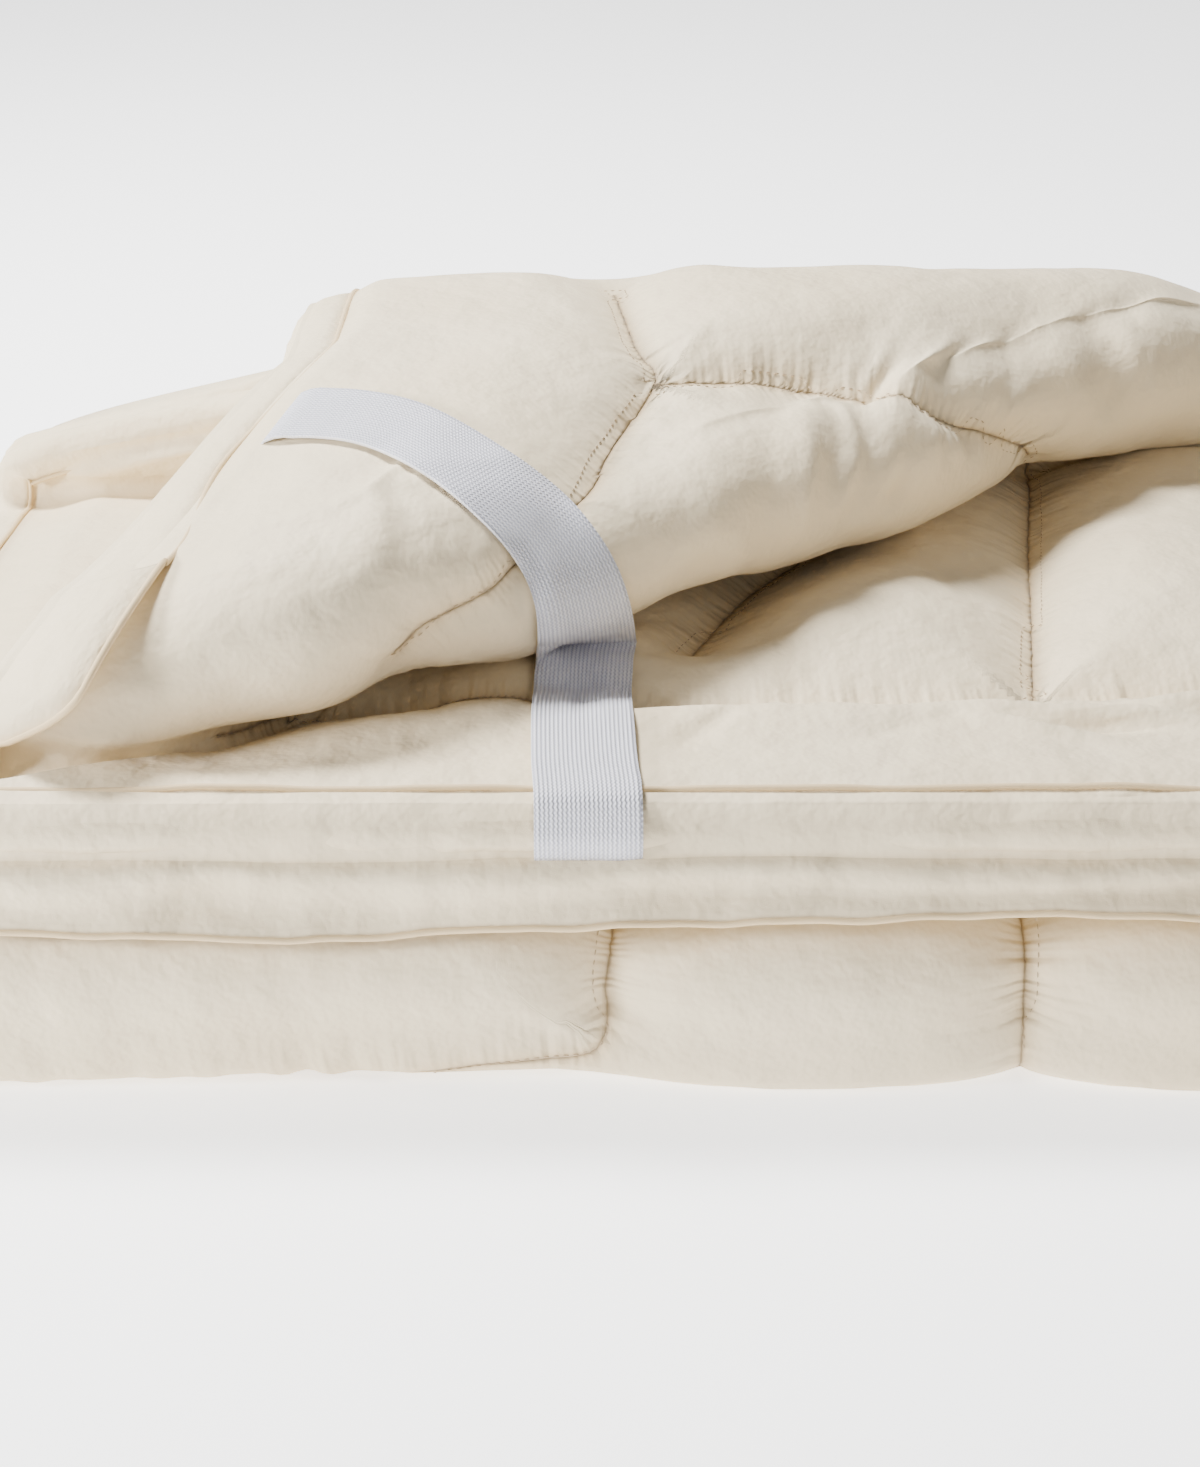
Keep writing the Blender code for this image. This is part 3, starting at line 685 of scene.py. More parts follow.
def build_pad(topper, material, upper_lines, lower_lines):
    """The filled sheet as one closed mesh: two quilted skins and a rim."""
    upper, upper_gap, upper_side, upper_run = quilted(topper, 1, upper_lines, FOLD_ROWS)
    lower, lower_gap, lower_side, lower_run = quilted(topper, -1, lower_lines, ())
    lower[..., 2] = np.maximum(lower[..., 2], 0.0)
    keep_up = [j for j, s in enumerate(topper.stations) if s[2]]
    keep_low = [j for j, s in enumerate(topper.stations) if s[3]]
    across = len(topper.places)
    points, faces, uvs, gaps, sides, runs = [], [], [], [], [], []

    def add_skin(skin, keep, gap, side, run, turned):
        first = len(points)
        for i in range(across):
            for j in keep:
                points.append(skin[i, j])
                uvs.append((topper.places[i], topper.travel[i, j]))
                gaps.append(gap[i, j])
                sides.append(side[i, j])
                runs.append(run[i, j])
        count = len(keep)
        for i in range(across - 1):
            for j in range(count - 1):
                a = first + i * count + j
                b = a + count
                faces.append((a, a + 1, b + 1, b) if turned else (a, b, b + 1, a + 1))
        return first, count

    up, up_count = add_skin(upper, keep_up, upper_gap, upper_side, upper_run, False)
    low, low_count = add_skin(lower, keep_low, lower_gap, lower_side, lower_run, True)
    spots = outline(topper)
    ways = outward(topper, spots)
    rim_first = len(points)
    for (i, j), way in zip(spots, ways):
        points.append(topper.middle[i, j] + way * RIM_BULGE)
        uvs.append((topper.places[i], topper.travel[i, j]))
        gaps.append(1.0)
        sides.append(1.0)
        runs.append(0.0)
    last_j = len(topper.stations) - 1
    rim_at = {spot: rim_first + k for k, spot in enumerate(spots)}
    up_at = {j: k for k, j in enumerate(keep_up)}
    low_at = {j: k for k, j in enumerate(keep_low)}
    for i_edge in (0, across - 1):
        rim = [rim_at[(i_edge, j)] for j in range(last_j + 1)]
        order = list(range(last_j + 1))
        for keep, at, first, count in (
            (keep_up, up_at, up, up_count),
            (keep_low, low_at, low, low_count),
        ):
            line = [first + i_edge * count + at[j] for j in keep]
            faces.extend(zipped(line, rim, keep, order))
    for j_edge in (0, last_j):
        rim = [rim_at[(i, j_edge)] for i in range(across)]
        order = list(range(across))
        for at, first, count in ((up_at, up, up_count), (low_at, low, low_count)):
            line = [first + i * count + at[j_edge] for i in range(across)]
            faces.extend(zipped(line, rim, order, order))
    layers = {"seam_gap": gaps, "seam_side": sides, "seam_run": runs}
    return add_mesh("quilted_topper", points, faces, material, layers, uvs)


# The border's outer line from the upper cord to the lower: out in metres, up as a part of the thickness.
FRONT_BORDER = (
    (-0.0105, 1.03), (-0.0060, 0.96), (-0.0010, 0.76), (0.0028, 0.52), (0.0042, 0.32), (0.0036, 0.17),
    (0.0006, 0.09), (0.0016, 0.04), (0.0074, -0.03), (0.0104, -0.14), (0.0116, -0.34), (0.0112, -0.56),
    (0.0106, -0.78), (0.0118, -0.95), (0.0150, -1.12), (0.0178, -1.26),
)
SIDE_BORDER = (
    (-0.0250, 1.22), (-0.0160, 1.22), (-0.0080, 1.13), (-0.0010, 0.92), (0.0050, 0.58), (0.0062, 0.28),
    (0.0046, 0.09), (0.0042, 0.02), (0.0056, -0.06), (0.0074, -0.26), (0.0074, -0.52), (0.0058, -0.78),
    (0.0030, -1.00), (-0.0020, -1.08), (-0.0080, -1.12), (-0.0125, -1.13),
)
# Added to the first rows where more of the border lies on the upper skin.
WIDER_STRIP = ((-0.0340, 0.34), (-0.0210, 0.22), (-0.0090, 0.08))
LAST_ROW = len(FRONT_BORDER) - 1
UPPER_ROWS = 5.0
TUCK_ROW, TUCK_SPREAD = 7, 2.5
LOWER_FROM = 10.0
# The lower lip is drawn up towards the right: how far, from where, over what width, and on which rows.
LIP_ROW_FROM, LIP_ROWS = 8.0, 6.0
LIP_RISE, LIP_FROM, LIP_OVER = 0.0085, -0.30, 0.15
BAND_THICK = 0.0009
CORNER_BLEND = 0.05          # the side's outline turns into the front's over this width
WIDER_FROM, WIDER_OVER, WIDER_TO = -0.20, 0.08, 0.24    # parts of the top layer's stations
QUIET_SIDES = 0.3            # how strong the border's waves are away from the front
# Waves along the border: which way they push, which rows, height, pitch, lean over the rows, and seed.
BORDER_WAVES = (
    ("out", "all", 0.0032, 0.060, 0.05, 21),
    ("out", "all", 0.0015, 0.022, 0.12, 22),
    ("out", "all", 0.0006, 0.010, 0.20, 23),
    ("up", "upper", 0.0022, 0.085, 0.0, 24),
    ("up", "upper", 0.0008, 0.024, 0.0, 25),
    ("up", "tuck", 0.0018, 0.100, 0.0, 26),
    ("up", "tuck", 0.0006, 0.030, 0.0, 27),
    ("up", "lower", 0.0030, 0.075, 0.0, 28),
    ("up", "lower", 0.0012, 0.020, 0.0, 29),
    ("out", "lower", 0.0020, 0.035, 0.0, 30),
)


class Border:
    """The topper's edge: its frames, and the border's outer line from the upper cord to the lower one."""

    def __init__(self, topper):
        spots = outline(topper)
        self.ways = outward(topper, spots)
        self.middle = np.array([topper.middle[i, j] for i, j in spots])
        self.normals = np.array([topper.normals[i, j] for i, j in spots])
        above = np.array([topper.above[i, j] for i, j in spots])
        below = np.array([topper.below[i, j] for i, j in spots])
        ends = smooth(np.minimum(topper.places, WIDTH - topper.places) / CORNER_BLEND)
        front = np.array([ends[i] if j == 0 else 0.0 for i, j in spots])
        steps = np.linalg.norm(np.roll(self.middle, -1, axis=0) - self.middle, axis=1)
        self.run = np.concatenate([[0.0], np.cumsum(steps)[:-1]])
        rows = np.array(SIDE_BORDER)[None] * (1.0 - front)[:, None, None]
        rows = rows + np.array(FRONT_BORDER)[None] * front[:, None, None]
        out, up = rows[..., 0].copy(), rows[..., 1].copy()
        over = [j for j, name in enumerate(topper.names) if name == "top_layer"]
        wide = np.array([self.widened(topper, over, i, j) for i, j in spots])
        out[:, :3] += wide[:, None] * np.array(WIDER_STRIP)[None, :, 0]
        up[:, :3] += wide[:, None] * np.array(WIDER_STRIP)[None, :, 1]
        up *= np.where(up > 0, above[:, None], below[:, None])
        count = out.shape[1]
        place = np.arange(count)
        strong = (QUIET_SIDES + (1.0 - QUIET_SIDES) * front)[:, None]
        weights = {
            "all": np.sin(np.linspace(0.0, 2.0 * math.pi, count)) ** 2,
            "upper": strong * smooth((UPPER_ROWS - place) / UPPER_ROWS),
            "tuck": strong * np.exp(-((place - TUCK_ROW) / TUCK_SPREAD) ** 2),
            "lower": strong * smooth((place - LOWER_FROM) / (LAST_ROW - LOWER_FROM)),
        }
        pushed = {"out": out, "up": up}
        for way, where, height, pitch, lean, seed in BORDER_WAVES:
            pushed[way] += weights[where] * height * wave(self.run[:, None] / pitch + lean * place, seed)
        raised_lip = LIP_RISE * front * smooth((self.middle[:, 0] - LIP_FROM) / LIP_OVER)
        up += raised_lip[:, None] * smooth((place - LIP_ROW_FROM) / LIP_ROWS)
        self.profiles = np.stack([out, up], axis=2)

    @staticmethod
    def widened(topper, over, i, j):
        """1 on the left edge near the top nose, where more of the border lies on the upper skin."""
        if i or topper.names[j] not in ("bend_fore", "top_layer"):
            return 0.0
        part = (j - over[0]) / len(over)
        return float(smooth((part - WIDER_FROM) / WIDER_OVER) * smooth((WIDER_TO - part) / WIDER_TO))

    def place(self, out, up):
        """Points round the edge that lie this far out and up."""
        return self.middle + self.ways * np.asarray(out)[:, None] + self.normals * np.asarray(up)[:, None]


CORD_SIDES = 8
CORD_STANDS = 0.0005         # how far a cord stands off the border's outline


def ring_mesh(name, rings, uvs, material):
    """A closed loop of cross-sections joined into one tube."""
    total, size = rings.shape[:2]
    faces = []
    for k in range(total):
        here, there = k * size, (k + 1) % total * size
        for m in range(size):
            n = (m + 1) % size
            faces.append((here + m, there + m, there + n, here + n))
    count = total * size
    layers = {"seam_gap": np.ones(count), "seam_side": np.ones(count), "seam_run": np.zeros(count)}
    return add_mesh(name, rings.reshape(-1, 3), faces, material, layers, uvs.reshape(-1, 2))


def build_border(edge, material):
    """The plain border, a skin of cloth round the whole edge, with its middle tuck."""
    profiles = edge.profiles
    way = np.gradient(profiles, axis=1)
    normal = unit(np.stack([way[..., 1], -way[..., 0]], axis=2))
    inner = profiles + normal * BAND_THICK
    section = np.concatenate([profiles, inner[:, ::-1]], axis=1)
    size = section.shape[1]
    rings = np.stack([edge.place(section[:, m, 0], section[:, m, 1]) for m in range(size)], axis=1)
    reach = np.cumsum(np.linalg.norm(np.diff(section, axis=1, prepend=section[:, :1]), axis=2), axis=1)
    uvs = np.stack([np.repeat(edge.run[:, None], size, axis=1), reach], axis=2)
    return ring_mesh("border", rings, uvs, material)


def build_cord(name, edge, row, radius, material):
    """A thin corded seam along one rim of the border."""
    spot = edge.profiles[:, row]
    side = 1.0 if row == 0 else -1.0
    rings, uvs = [], []
    for corner in range(CORD_SIDES):
        angle = 2.0 * math.pi * corner / CORD_SIDES
        rings.append(edge.place(spot[:, 0] + radius * math.cos(angle),
                                spot[:, 1] + side * CORD_STANDS + radius * math.sin(angle)))
        uvs.append(np.column_stack([edge.run, np.full(len(edge.run), radius * angle)]))
    return ring_mesh(name, np.stack(rings, axis=1), np.stack(uvs, axis=1), material)


STRAP_WIDTH = 0.0445
STRAP_THICK = 0.0014
STRAP_LIFT = 0.0014
STRAP_SIGHT = (0.0, 0.9135, -0.4067)
STRAP_ROWS = 190
STRAP_ACROSS = 24
SPOT_EASE, FACING_EASE, ACROSS_EASE = 10, 60, 160    # times that its line and directions are evened out
SINK, SINK_ROWS = 0.0065, 5.0                        # its first rows are pushed in along the sight
# The strap's turn over the flap's edge: out and down.
STRAP_WRAP = (
    (0.005, 0.0003), (0.010, 0.0015), (0.015, 0.004), (0.019, 0.009), (0.021, 0.015), (0.022, 0.022),
)
STRAP_ROUTE = (
    (-0.1662, -0.262, 0.1085),
    (-0.1662, -0.246, 0.1290),
    (-0.1682, -0.190, 0.1220),
    (-0.1692, -0.130, 0.1210),
    (-0.1682, -0.100, 0.1230),
    (-0.1672, -0.148, 0.1550),
    (-0.1722, -0.142, 0.1790),
    (-0.1862, -0.135, 0.2010),
    (-0.2072, -0.113, 0.2130),
    (-0.2312, -0.079, 0.2160),
    (-0.2582, -0.051, 0.2180),
    (-0.2832, -0.038, 0.2180),
    (-0.2960, -0.0340, 0.2170),
)


def skin_tree(things):
    """One search tree over the faces of several objects."""
    points, faces = [], []
    for thing in things:
        first = len(points)
        points += [vertex.co.copy() for vertex in thing.data.vertices]
        faces += [[first + index for index in face.vertices] for face in thing.data.polygons]
    return BVHTree.FromPolygons(points, faces)


def build_strap(things, material):
    """The elastic strap, a ribbon laid on the cloth and turned over the left edge."""
    tree = skin_tree(things)
    sight = Vector(STRAP_SIGHT)
    view = np.array(STRAP_SIGHT)

    def lie(point):
        spot, normal = tree.ray_cast(Vector(point) - sight * 0.5, sight)[:2]
        return np.array(spot), np.array(normal if normal.dot(sight) < 0 else -normal)

    def bridged(points, lift, times, reach):
        depths = points @ view
        nearest = depths.copy()
        for shift in range(1, reach + 1):
            nearest[shift:] = np.minimum(nearest[shift:], depths[:-shift])
            nearest[:-shift] = np.minimum(nearest[:-shift], depths[shift:])
        wanted = np.minimum(eased(nearest, times) - lift, depths - lift)
        wanted = eased(wanted, 2)
        return points + (wanted - depths)[..., None] * view

    route = curve_through(STRAP_ROUTE, 0.002)
    pick = np.linspace(0, len(route) - 1, STRAP_ROWS).astype(int)
    line = [lie(route[k]) for k in pick]
    spots = eased(bridged(np.array([spot for spot, _ in line]), 0.0, SPOT_EASE, 4), SPOT_EASE)
    facing = unit(eased(np.array([normal for _, normal in line]), FACING_EASE))
    ways = unit(np.gradient(spots, axis=0))
    across = np.cross(ways, facing)
    across = unit(eased(unit(across * np.sign(across[:, :1])), ACROSS_EASE))
    reaches = np.linspace(-STRAP_WIDTH / 2.0, STRAP_WIDTH / 2.0, STRAP_ACROSS + 1)
    rows = [[lie(spot + side * reach)[0] for reach in reaches] for spot, side in zip(spots, across)]
    rows = bridged(np.array(rows), STRAP_LIFT, 8, 3)
    rows = eased(rows, 3)
    sunk = np.clip(1.0 - np.arange(len(rows)) / SINK_ROWS, 0.0, 1.0) ** 1.5
    rows = rows + (sunk * SINK)[:, None, None] * view
    way = unit(ways[-1] * np.array([1.0, 1.0, 0.0]))
    turned = [rows[-1] + way * out + np.array([0.0, 0.0, -down]) for out, down in STRAP_WRAP]
    rows = np.concatenate([rows, turned])
    steps = np.linalg.norm(np.diff(rows[:, STRAP_ACROSS // 2], axis=0), axis=1)
    run = np.concatenate([[0.0], np.cumsum(steps)])
    size = STRAP_ACROSS + 1
    wide, long = np.gradient(rows, axis=1), np.gradient(rows, axis=0)
    normal = unit(np.cross(wide, long))
    normal = normal * -np.sign(normal @ view)[..., None]
    normal = unit(eased(normal, 4))
    outer = rows + normal * STRAP_THICK
    points = list(rows.reshape(-1, 3)) + list(outer.reshape(-1, 3))
    uvs = [(reach, travel) for travel in run for reach in reaches] * 2
    layer = len(rows) * size
    faces = []
    for k in range(len(rows) - 1):
        for m in range(size - 1):
            a, b = k * size + m, (k + 1) * size + m
            faces.append((a, a + 1, b + 1, b))
            faces.append((layer + a, layer + b, layer + b + 1, layer + a + 1))
        for m in (0, size - 1):
            a, b = k * size + m, (k + 1) * size + m
            faces.append((a, b, layer + b, layer + a))
    for k in (0, len(rows) - 1):
        for m in range(size - 1):
            a = k * size + m
            faces.append((a, a + 1, layer + a + 1, layer + a))
    return add_mesh("elastic_strap", points, faces, material, None, uvs), float(run[-1])


# Cloth surface: the sewn line's reach, fade and half width, the width of the band of painted shade beside
# it, and threads a metre.
LINE_ENDS, LINE_FADE, LINE_WIDTH = 0.0052, 0.0018, 0.0011
SEAM_SHADE_WIDTH = 0.0050
THREADS = (2600.0, 1900.0, 1.0)
KNIT_PITCH = 0.0022
# Fine puckers beside a seam: how many a metre along it and across it, and how soon they fade.
FINE_PUCKERS = (150.0, 16.0)
FINE_PUCKER_FADE = 0.011
# Depths of the relief in metres, and how strong the painted shade is in the sewn line's crease and in the
# band beside it.
WEAVE_DEPTH, RUMPLE_DEPTH, FINE_PUCKER_DEPTH, LINE_DEPTH = 0.00030, 0.0050, 0.0035, 0.0016
RIB_DEPTH, LOOP_DEPTH = 0.00050, 0.00012
LINE_SHADE, HALO_SHADE = 0.75, 0.55


def node_group(name, inputs, outputs):
    """An empty shader node group with its sockets."""
    group = bpy.data.node_groups.new(name, "ShaderNodeTree")
    for label, kind, value in inputs:
        socket = group.interface.new_socket(name=label, in_out="INPUT", socket_type=kind)
        if value is not None:
            socket.default_value = value
    for label, kind in outputs:
        group.interface.new_socket(name=label, in_out="OUTPUT", socket_type=kind)
    return group, group.nodes.new("NodeGroupInput"), group.nodes.new("NodeGroupOutput")


def maths(tree, operation, first, second=None, third=None):
    """A Math node fed by sockets or numbers; gives its result."""
    node = tree.nodes.new("ShaderNodeMath")
    node.operation = operation
    for k, value in enumerate((first, second, third)):
        if value is None:
            continue
        if isinstance(value, (int, float)):
            node.inputs[k].default_value = value
        else:
            tree.links.new(value, node.inputs[k])
    return node.outputs[0]


def arithmetic(tree):
    """Short forms of the Math node for one tree: times, plus, and a fade with distance."""
    def times(first, second):
        return maths(tree, "MULTIPLY", first, second)

    def plus(first, second):
        return maths(tree, "ADD", first, second)

    def fading(distance, reach):
        return maths(tree, "EXPONENT", maths(tree, "DIVIDE", times(distance, -1.0), reach))

    return times, plus, fading


def bumped(tree, height, normal):
    """A Bump node from a height in metres to a group's normal."""
    bump = tree.nodes.new("ShaderNodeBump")
    bump.inputs["Strength"].default_value = 1.0
    bump.inputs["Distance"].default_value = 1.0
    tree.links.new(height, bump.inputs["Height"])
    tree.links.new(bump.outputs["Normal"], normal)


def mixed(tree, amount, first, second):
    """Two colours mixed."""
    node = tree.nodes.new("ShaderNodeMix")
    node.data_type = "RGBA"
    for place, value in ((0, amount), (6, first), (7, second)):
        tree.links.new(value, node.inputs[place])
    return node.outputs[2]


def cloth_group():
    """Cotton cloth: weave, small rumples, random darker patches and sewn lines, with painted shade in the
    sewn lines' creases and beside them, as a colour and a normal.
    """
    group, inside, outside = node_group(
        "cloth_surface",
        (
            ("Cloth", "NodeSocketColor", (0.84, 0.712, 0.495, 1.0)),
            # Darker cream, used for the random patches and for the painted shade beside the seams.
            ("Patch_and_seam_shade", "NodeSocketColor", (0.68, 0.49, 0.23, 1.0)),
            # Dark brown painted shade in the tight crease of each sewn line.
            ("Seam", "NodeSocketColor", (0.30, 0.19, 0.09, 1.0)),
            ("Weave", "NodeSocketFloat", 0.15),
            ("Rumple", "NodeSocketFloat", 1.00),
            ("Pucker", "NodeSocketFloat", 1.6),
        ),
        (("Color", "NodeSocketColor"), ("Normal", "NodeSocketVector")),
    )
    nodes, links = group.nodes, group.links
    place = nodes.new("ShaderNodeTexCoord")
    cloth_map = nodes.new("ShaderNodeUVMap")
    cloth_map.uv_map = "cloth_map"

    def layer(name):
        node = nodes.new("ShaderNodeAttribute")
        node.attribute_name = name
        return node.outputs["Fac"]

    def cloudy(scale, detail, source, rough=0.5):
        node = nodes.new("ShaderNodeTexNoise")
        node.inputs["Scale"].default_value = scale
        node.inputs["Detail"].default_value = detail
        node.inputs["Roughness"].default_value = rough
        links.new(source, node.inputs["Vector"])
        return node.outputs["Fac"]

    times, plus, fading = arithmetic(group)
    gap, side, run = layer("seam_gap"), layer("seam_side"), layer("seam_run")
    # The sewn line: a narrow dark line of painted shade in the seam's tight crease, also sunk by the bump
    # below.
    near = maths(group, "DIVIDE", maths(group, "SUBTRACT", LINE_ENDS, gap), LINE_FADE)
    near = maths(group, "MAXIMUM", maths(group, "MINIMUM", near, 1.0), 0.0)
    line = times(fading(maths(group, "ABSOLUTE", side), LINE_WIDTH), near)
    # A band of painted shade beside each seam, fading with the distance from it.
    seam_shade = fading(gap, SEAM_SHADE_WIDTH)
    # Puckers stand across the seam and fade away from it.
    spot = nodes.new("ShaderNodeCombineXYZ")
    links.new(times(run, FINE_PUCKERS[0]), spot.inputs["X"])
    links.new(times(side, FINE_PUCKERS[1]), spot.inputs["Y"])
    pucker_noise = cloudy(1.0, 1.0, spot.outputs["Vector"])
    pucker = times(times(pucker_noise, fading(gap, FINE_PUCKER_FADE)), FINE_PUCKER_DEPTH)
    rumple = times(cloudy(26.0, 4.0, place.outputs["Object"], 0.55), RUMPLE_DEPTH)
    scaled = nodes.new("ShaderNodeVectorMath")
    scaled.operation = "MULTIPLY"
    scaled.inputs[1].default_value = THREADS
    links.new(cloth_map.outputs["UV"], scaled.inputs[0])
    weave = times(cloudy(1.0, 1.0, scaled.outputs["Vector"]), WEAVE_DEPTH)
    total = times(weave, inside.outputs["Weave"])
    total = plus(total, times(rumple, inside.outputs["Rumple"]))
    total = plus(total, times(pucker, inside.outputs["Pucker"]))
    total = plus(total, times(line, -LINE_DEPTH))
    bumped(group, total, outside.inputs["Normal"])
    # Random darker patches: the cloth's own uneven tone.
    patch = nodes.new("ShaderNodeMapRange")
    patch.inputs["From Min"].default_value = 0.40
    patch.inputs["From Max"].default_value = 0.72
    patch.inputs["To Max"].default_value = 0.16
    links.new(cloudy(9.0, 3.0, place.outputs["Object"]), patch.inputs["Value"])
    # The darker cream serves the random patches and the painted shade beside the seams.
    shade = inside.outputs["Patch_and_seam_shade"]
    color = mixed(group, patch.outputs["Result"], inside.outputs["Cloth"], shade)
    # Painted shade beside the seams.
    color = mixed(group, times(seam_shade, HALO_SHADE), color, shade)
    # Painted shade in the sewn lines' creases.
    color = mixed(group, times(line, LINE_SHADE), color, inside.outputs["Seam"])
    links.new(color, outside.inputs["Color"])
    return group


def strap_group():
    """Knitted elastic: fine ribs along the strap with a faint zigzag knit, as a colour and a normal; the
    grooves between the ribs get painted shade.
    """
    group, inside, outside = node_group(
        "elastic_surface",
        (
            ("Face", "NodeSocketColor", (0.82, 0.82, 0.87, 1.0)),
            # Darker lavender for the painted shade in the grooves between the ribs.
            ("Groove_shade", "NodeSocketColor", (0.52, 0.52, 0.62, 1.0)),
            ("Ribs", "NodeSocketFloat", 24.0),
        ),
        (("Color", "NodeSocketColor"), ("Normal", "NodeSocketVector")),
    )
    nodes, links = group.nodes, group.links
    times, plus, _ = arithmetic(group)
    cloth_map = nodes.new("ShaderNodeUVMap")
    cloth_map.uv_map = "cloth_map"
    parts = nodes.new("ShaderNodeSeparateXYZ")
    links.new(cloth_map.outputs["UV"], parts.inputs["Vector"])
    turns = times(inside.outputs["Ribs"], 2.0 * math.pi / STRAP_WIDTH)
    knit = maths(group, "SINE", times(parts.outputs["Y"], 2.0 * math.pi / KNIT_PITCH))
    phase = plus(times(parts.outputs["X"], turns), times(knit, 0.7))
    rib = plus(times(maths(group, "COSINE", phase), 0.5), 0.5)
    loops = plus(times(knit, 0.5), 0.5)
    bumped(group, plus(times(rib, RIB_DEPTH), times(loops, LOOP_DEPTH)), outside.inputs["Normal"])
    # The grooves between the ribs are darker: painted shade.
    color = mixed(group, maths(group, "POWER", rib, 0.6), inside.outputs["Groove_shade"], inside.outputs["Face"])
    links.new(color, outside.inputs["Color"])
    return group


def cloth_material(name, group, roughness, sheen, values):
    """A Principled cloth whose colour and normal come from a group."""
    material = bpy.data.materials.new(name)
    material.use_nodes = True
    tree = material.node_tree
    shader = tree.nodes["Principled BSDF"]
    surface = tree.nodes.new("ShaderNodeGroup")
    surface.node_tree = group
    for label, value in values.items():
        surface.inputs[label].default_value = value
    tree.links.new(surface.outputs["Color"], shader.inputs["Base Color"])
    tree.links.new(surface.outputs["Normal"], shader.inputs["Normal"])
    shader.inputs["Roughness"].default_value = roughness
    shader.inputs["Sheen Weight"].default_value = sheen
    shader.inputs["Sheen Roughness"].default_value = 0.5
    shader.inputs["Specular IOR Level"].default_value = 0.35
    return material


def plain_material(name, color, roughness):
    """A plain Principled material."""
    material = bpy.data.materials.new(name)
    material.use_nodes = True
    shader = material.node_tree.nodes["Principled BSDF"]
    shader.inputs["Base Color"].default_value = (*color, 1.0)
    shader.inputs["Roughness"].default_value = roughness
    return material


STITCH_PITCH = 0.0042
STITCH_LONG, STITCH_WIDE = 0.0026, 0.0006
STITCH_WOBBLE = 0.12
STITCH_SEED = 3
STITCH_LIFT = 0.0002


def stitch_tree(material, stitch):
    """Geometry Nodes that set a short stitch at every step along a line."""
    tree = bpy.data.node_groups.new("stitch_line", "GeometryNodeTree")
    for label, kind, value in (
        ("Geometry", "NodeSocketGeometry", None),
        ("Pitch", "NodeSocketFloat", STITCH_PITCH),
        ("Seed", "NodeSocketInt", STITCH_SEED),
        ("Wobble", "NodeSocketFloat", STITCH_WOBBLE),
    ):
        socket = tree.interface.new_socket(name=label, in_out="INPUT", socket_type=kind)
        if value is not None:
            socket.default_value = value
    tree.interface.new_socket(name="Geometry", in_out="OUTPUT", socket_type="NodeSocketGeometry")
    nodes = tree.nodes
    inside, outside = nodes.new("NodeGroupInput"), nodes.new("NodeGroupOutput")
    to_curve = nodes.new("GeometryNodeMeshToCurve")
    spaced = nodes.new("GeometryNodeCurveToPoints")
    spaced.mode = "LENGTH"
    each = nodes.new("GeometryNodeInstanceOnPoints")
    piece = nodes.new("GeometryNodeObjectInfo")
    piece.inputs["Object"].default_value = stitch
    spread = nodes.new("FunctionNodeRandomValue")
    spread.data_type = "FLOAT"
    least = maths(tree, "SUBTRACT", 1.0, inside.outputs["Wobble"])
    most = maths(tree, "ADD", 1.0, inside.outputs["Wobble"])
    least_in, most_in = [socket for socket in spread.inputs if socket.type == "VALUE"][:2]
    size = next(socket for socket in spread.outputs if socket.type == "VALUE")
    realize = nodes.new("GeometryNodeRealizeInstances")
    paint = nodes.new("GeometryNodeSetMaterial")
    paint.inputs["Material"].default_value = material
    for start, end in (
        (least, least_in),
        (most, most_in),
        (inside.outputs["Seed"], spread.inputs["Seed"]),
        (inside.outputs["Geometry"], to_curve.inputs["Mesh"]),
        (to_curve.outputs["Curve"], spaced.inputs["Curve"]),
        (inside.outputs["Pitch"], spaced.inputs["Length"]),
        (spaced.outputs["Points"], each.inputs["Points"]),
        (spaced.outputs["Rotation"], each.inputs["Rotation"]),
        (piece.outputs["Geometry"], each.inputs["Instance"]),
        (size, each.inputs["Scale"]),
        (each.outputs["Instances"], realize.inputs["Geometry"]),
        (realize.outputs["Geometry"], paint.inputs["Geometry"]),
        (paint.outputs["Geometry"], outside.inputs["Geometry"]),
    ):
        tree.links.new(start, end)
    return tree


def socket_named(tree, label):
    """The identifier of a tree's input."""
    return next(item.identifier for item in tree.interface.items_tree
                if item.name == label and item.in_out == "INPUT")


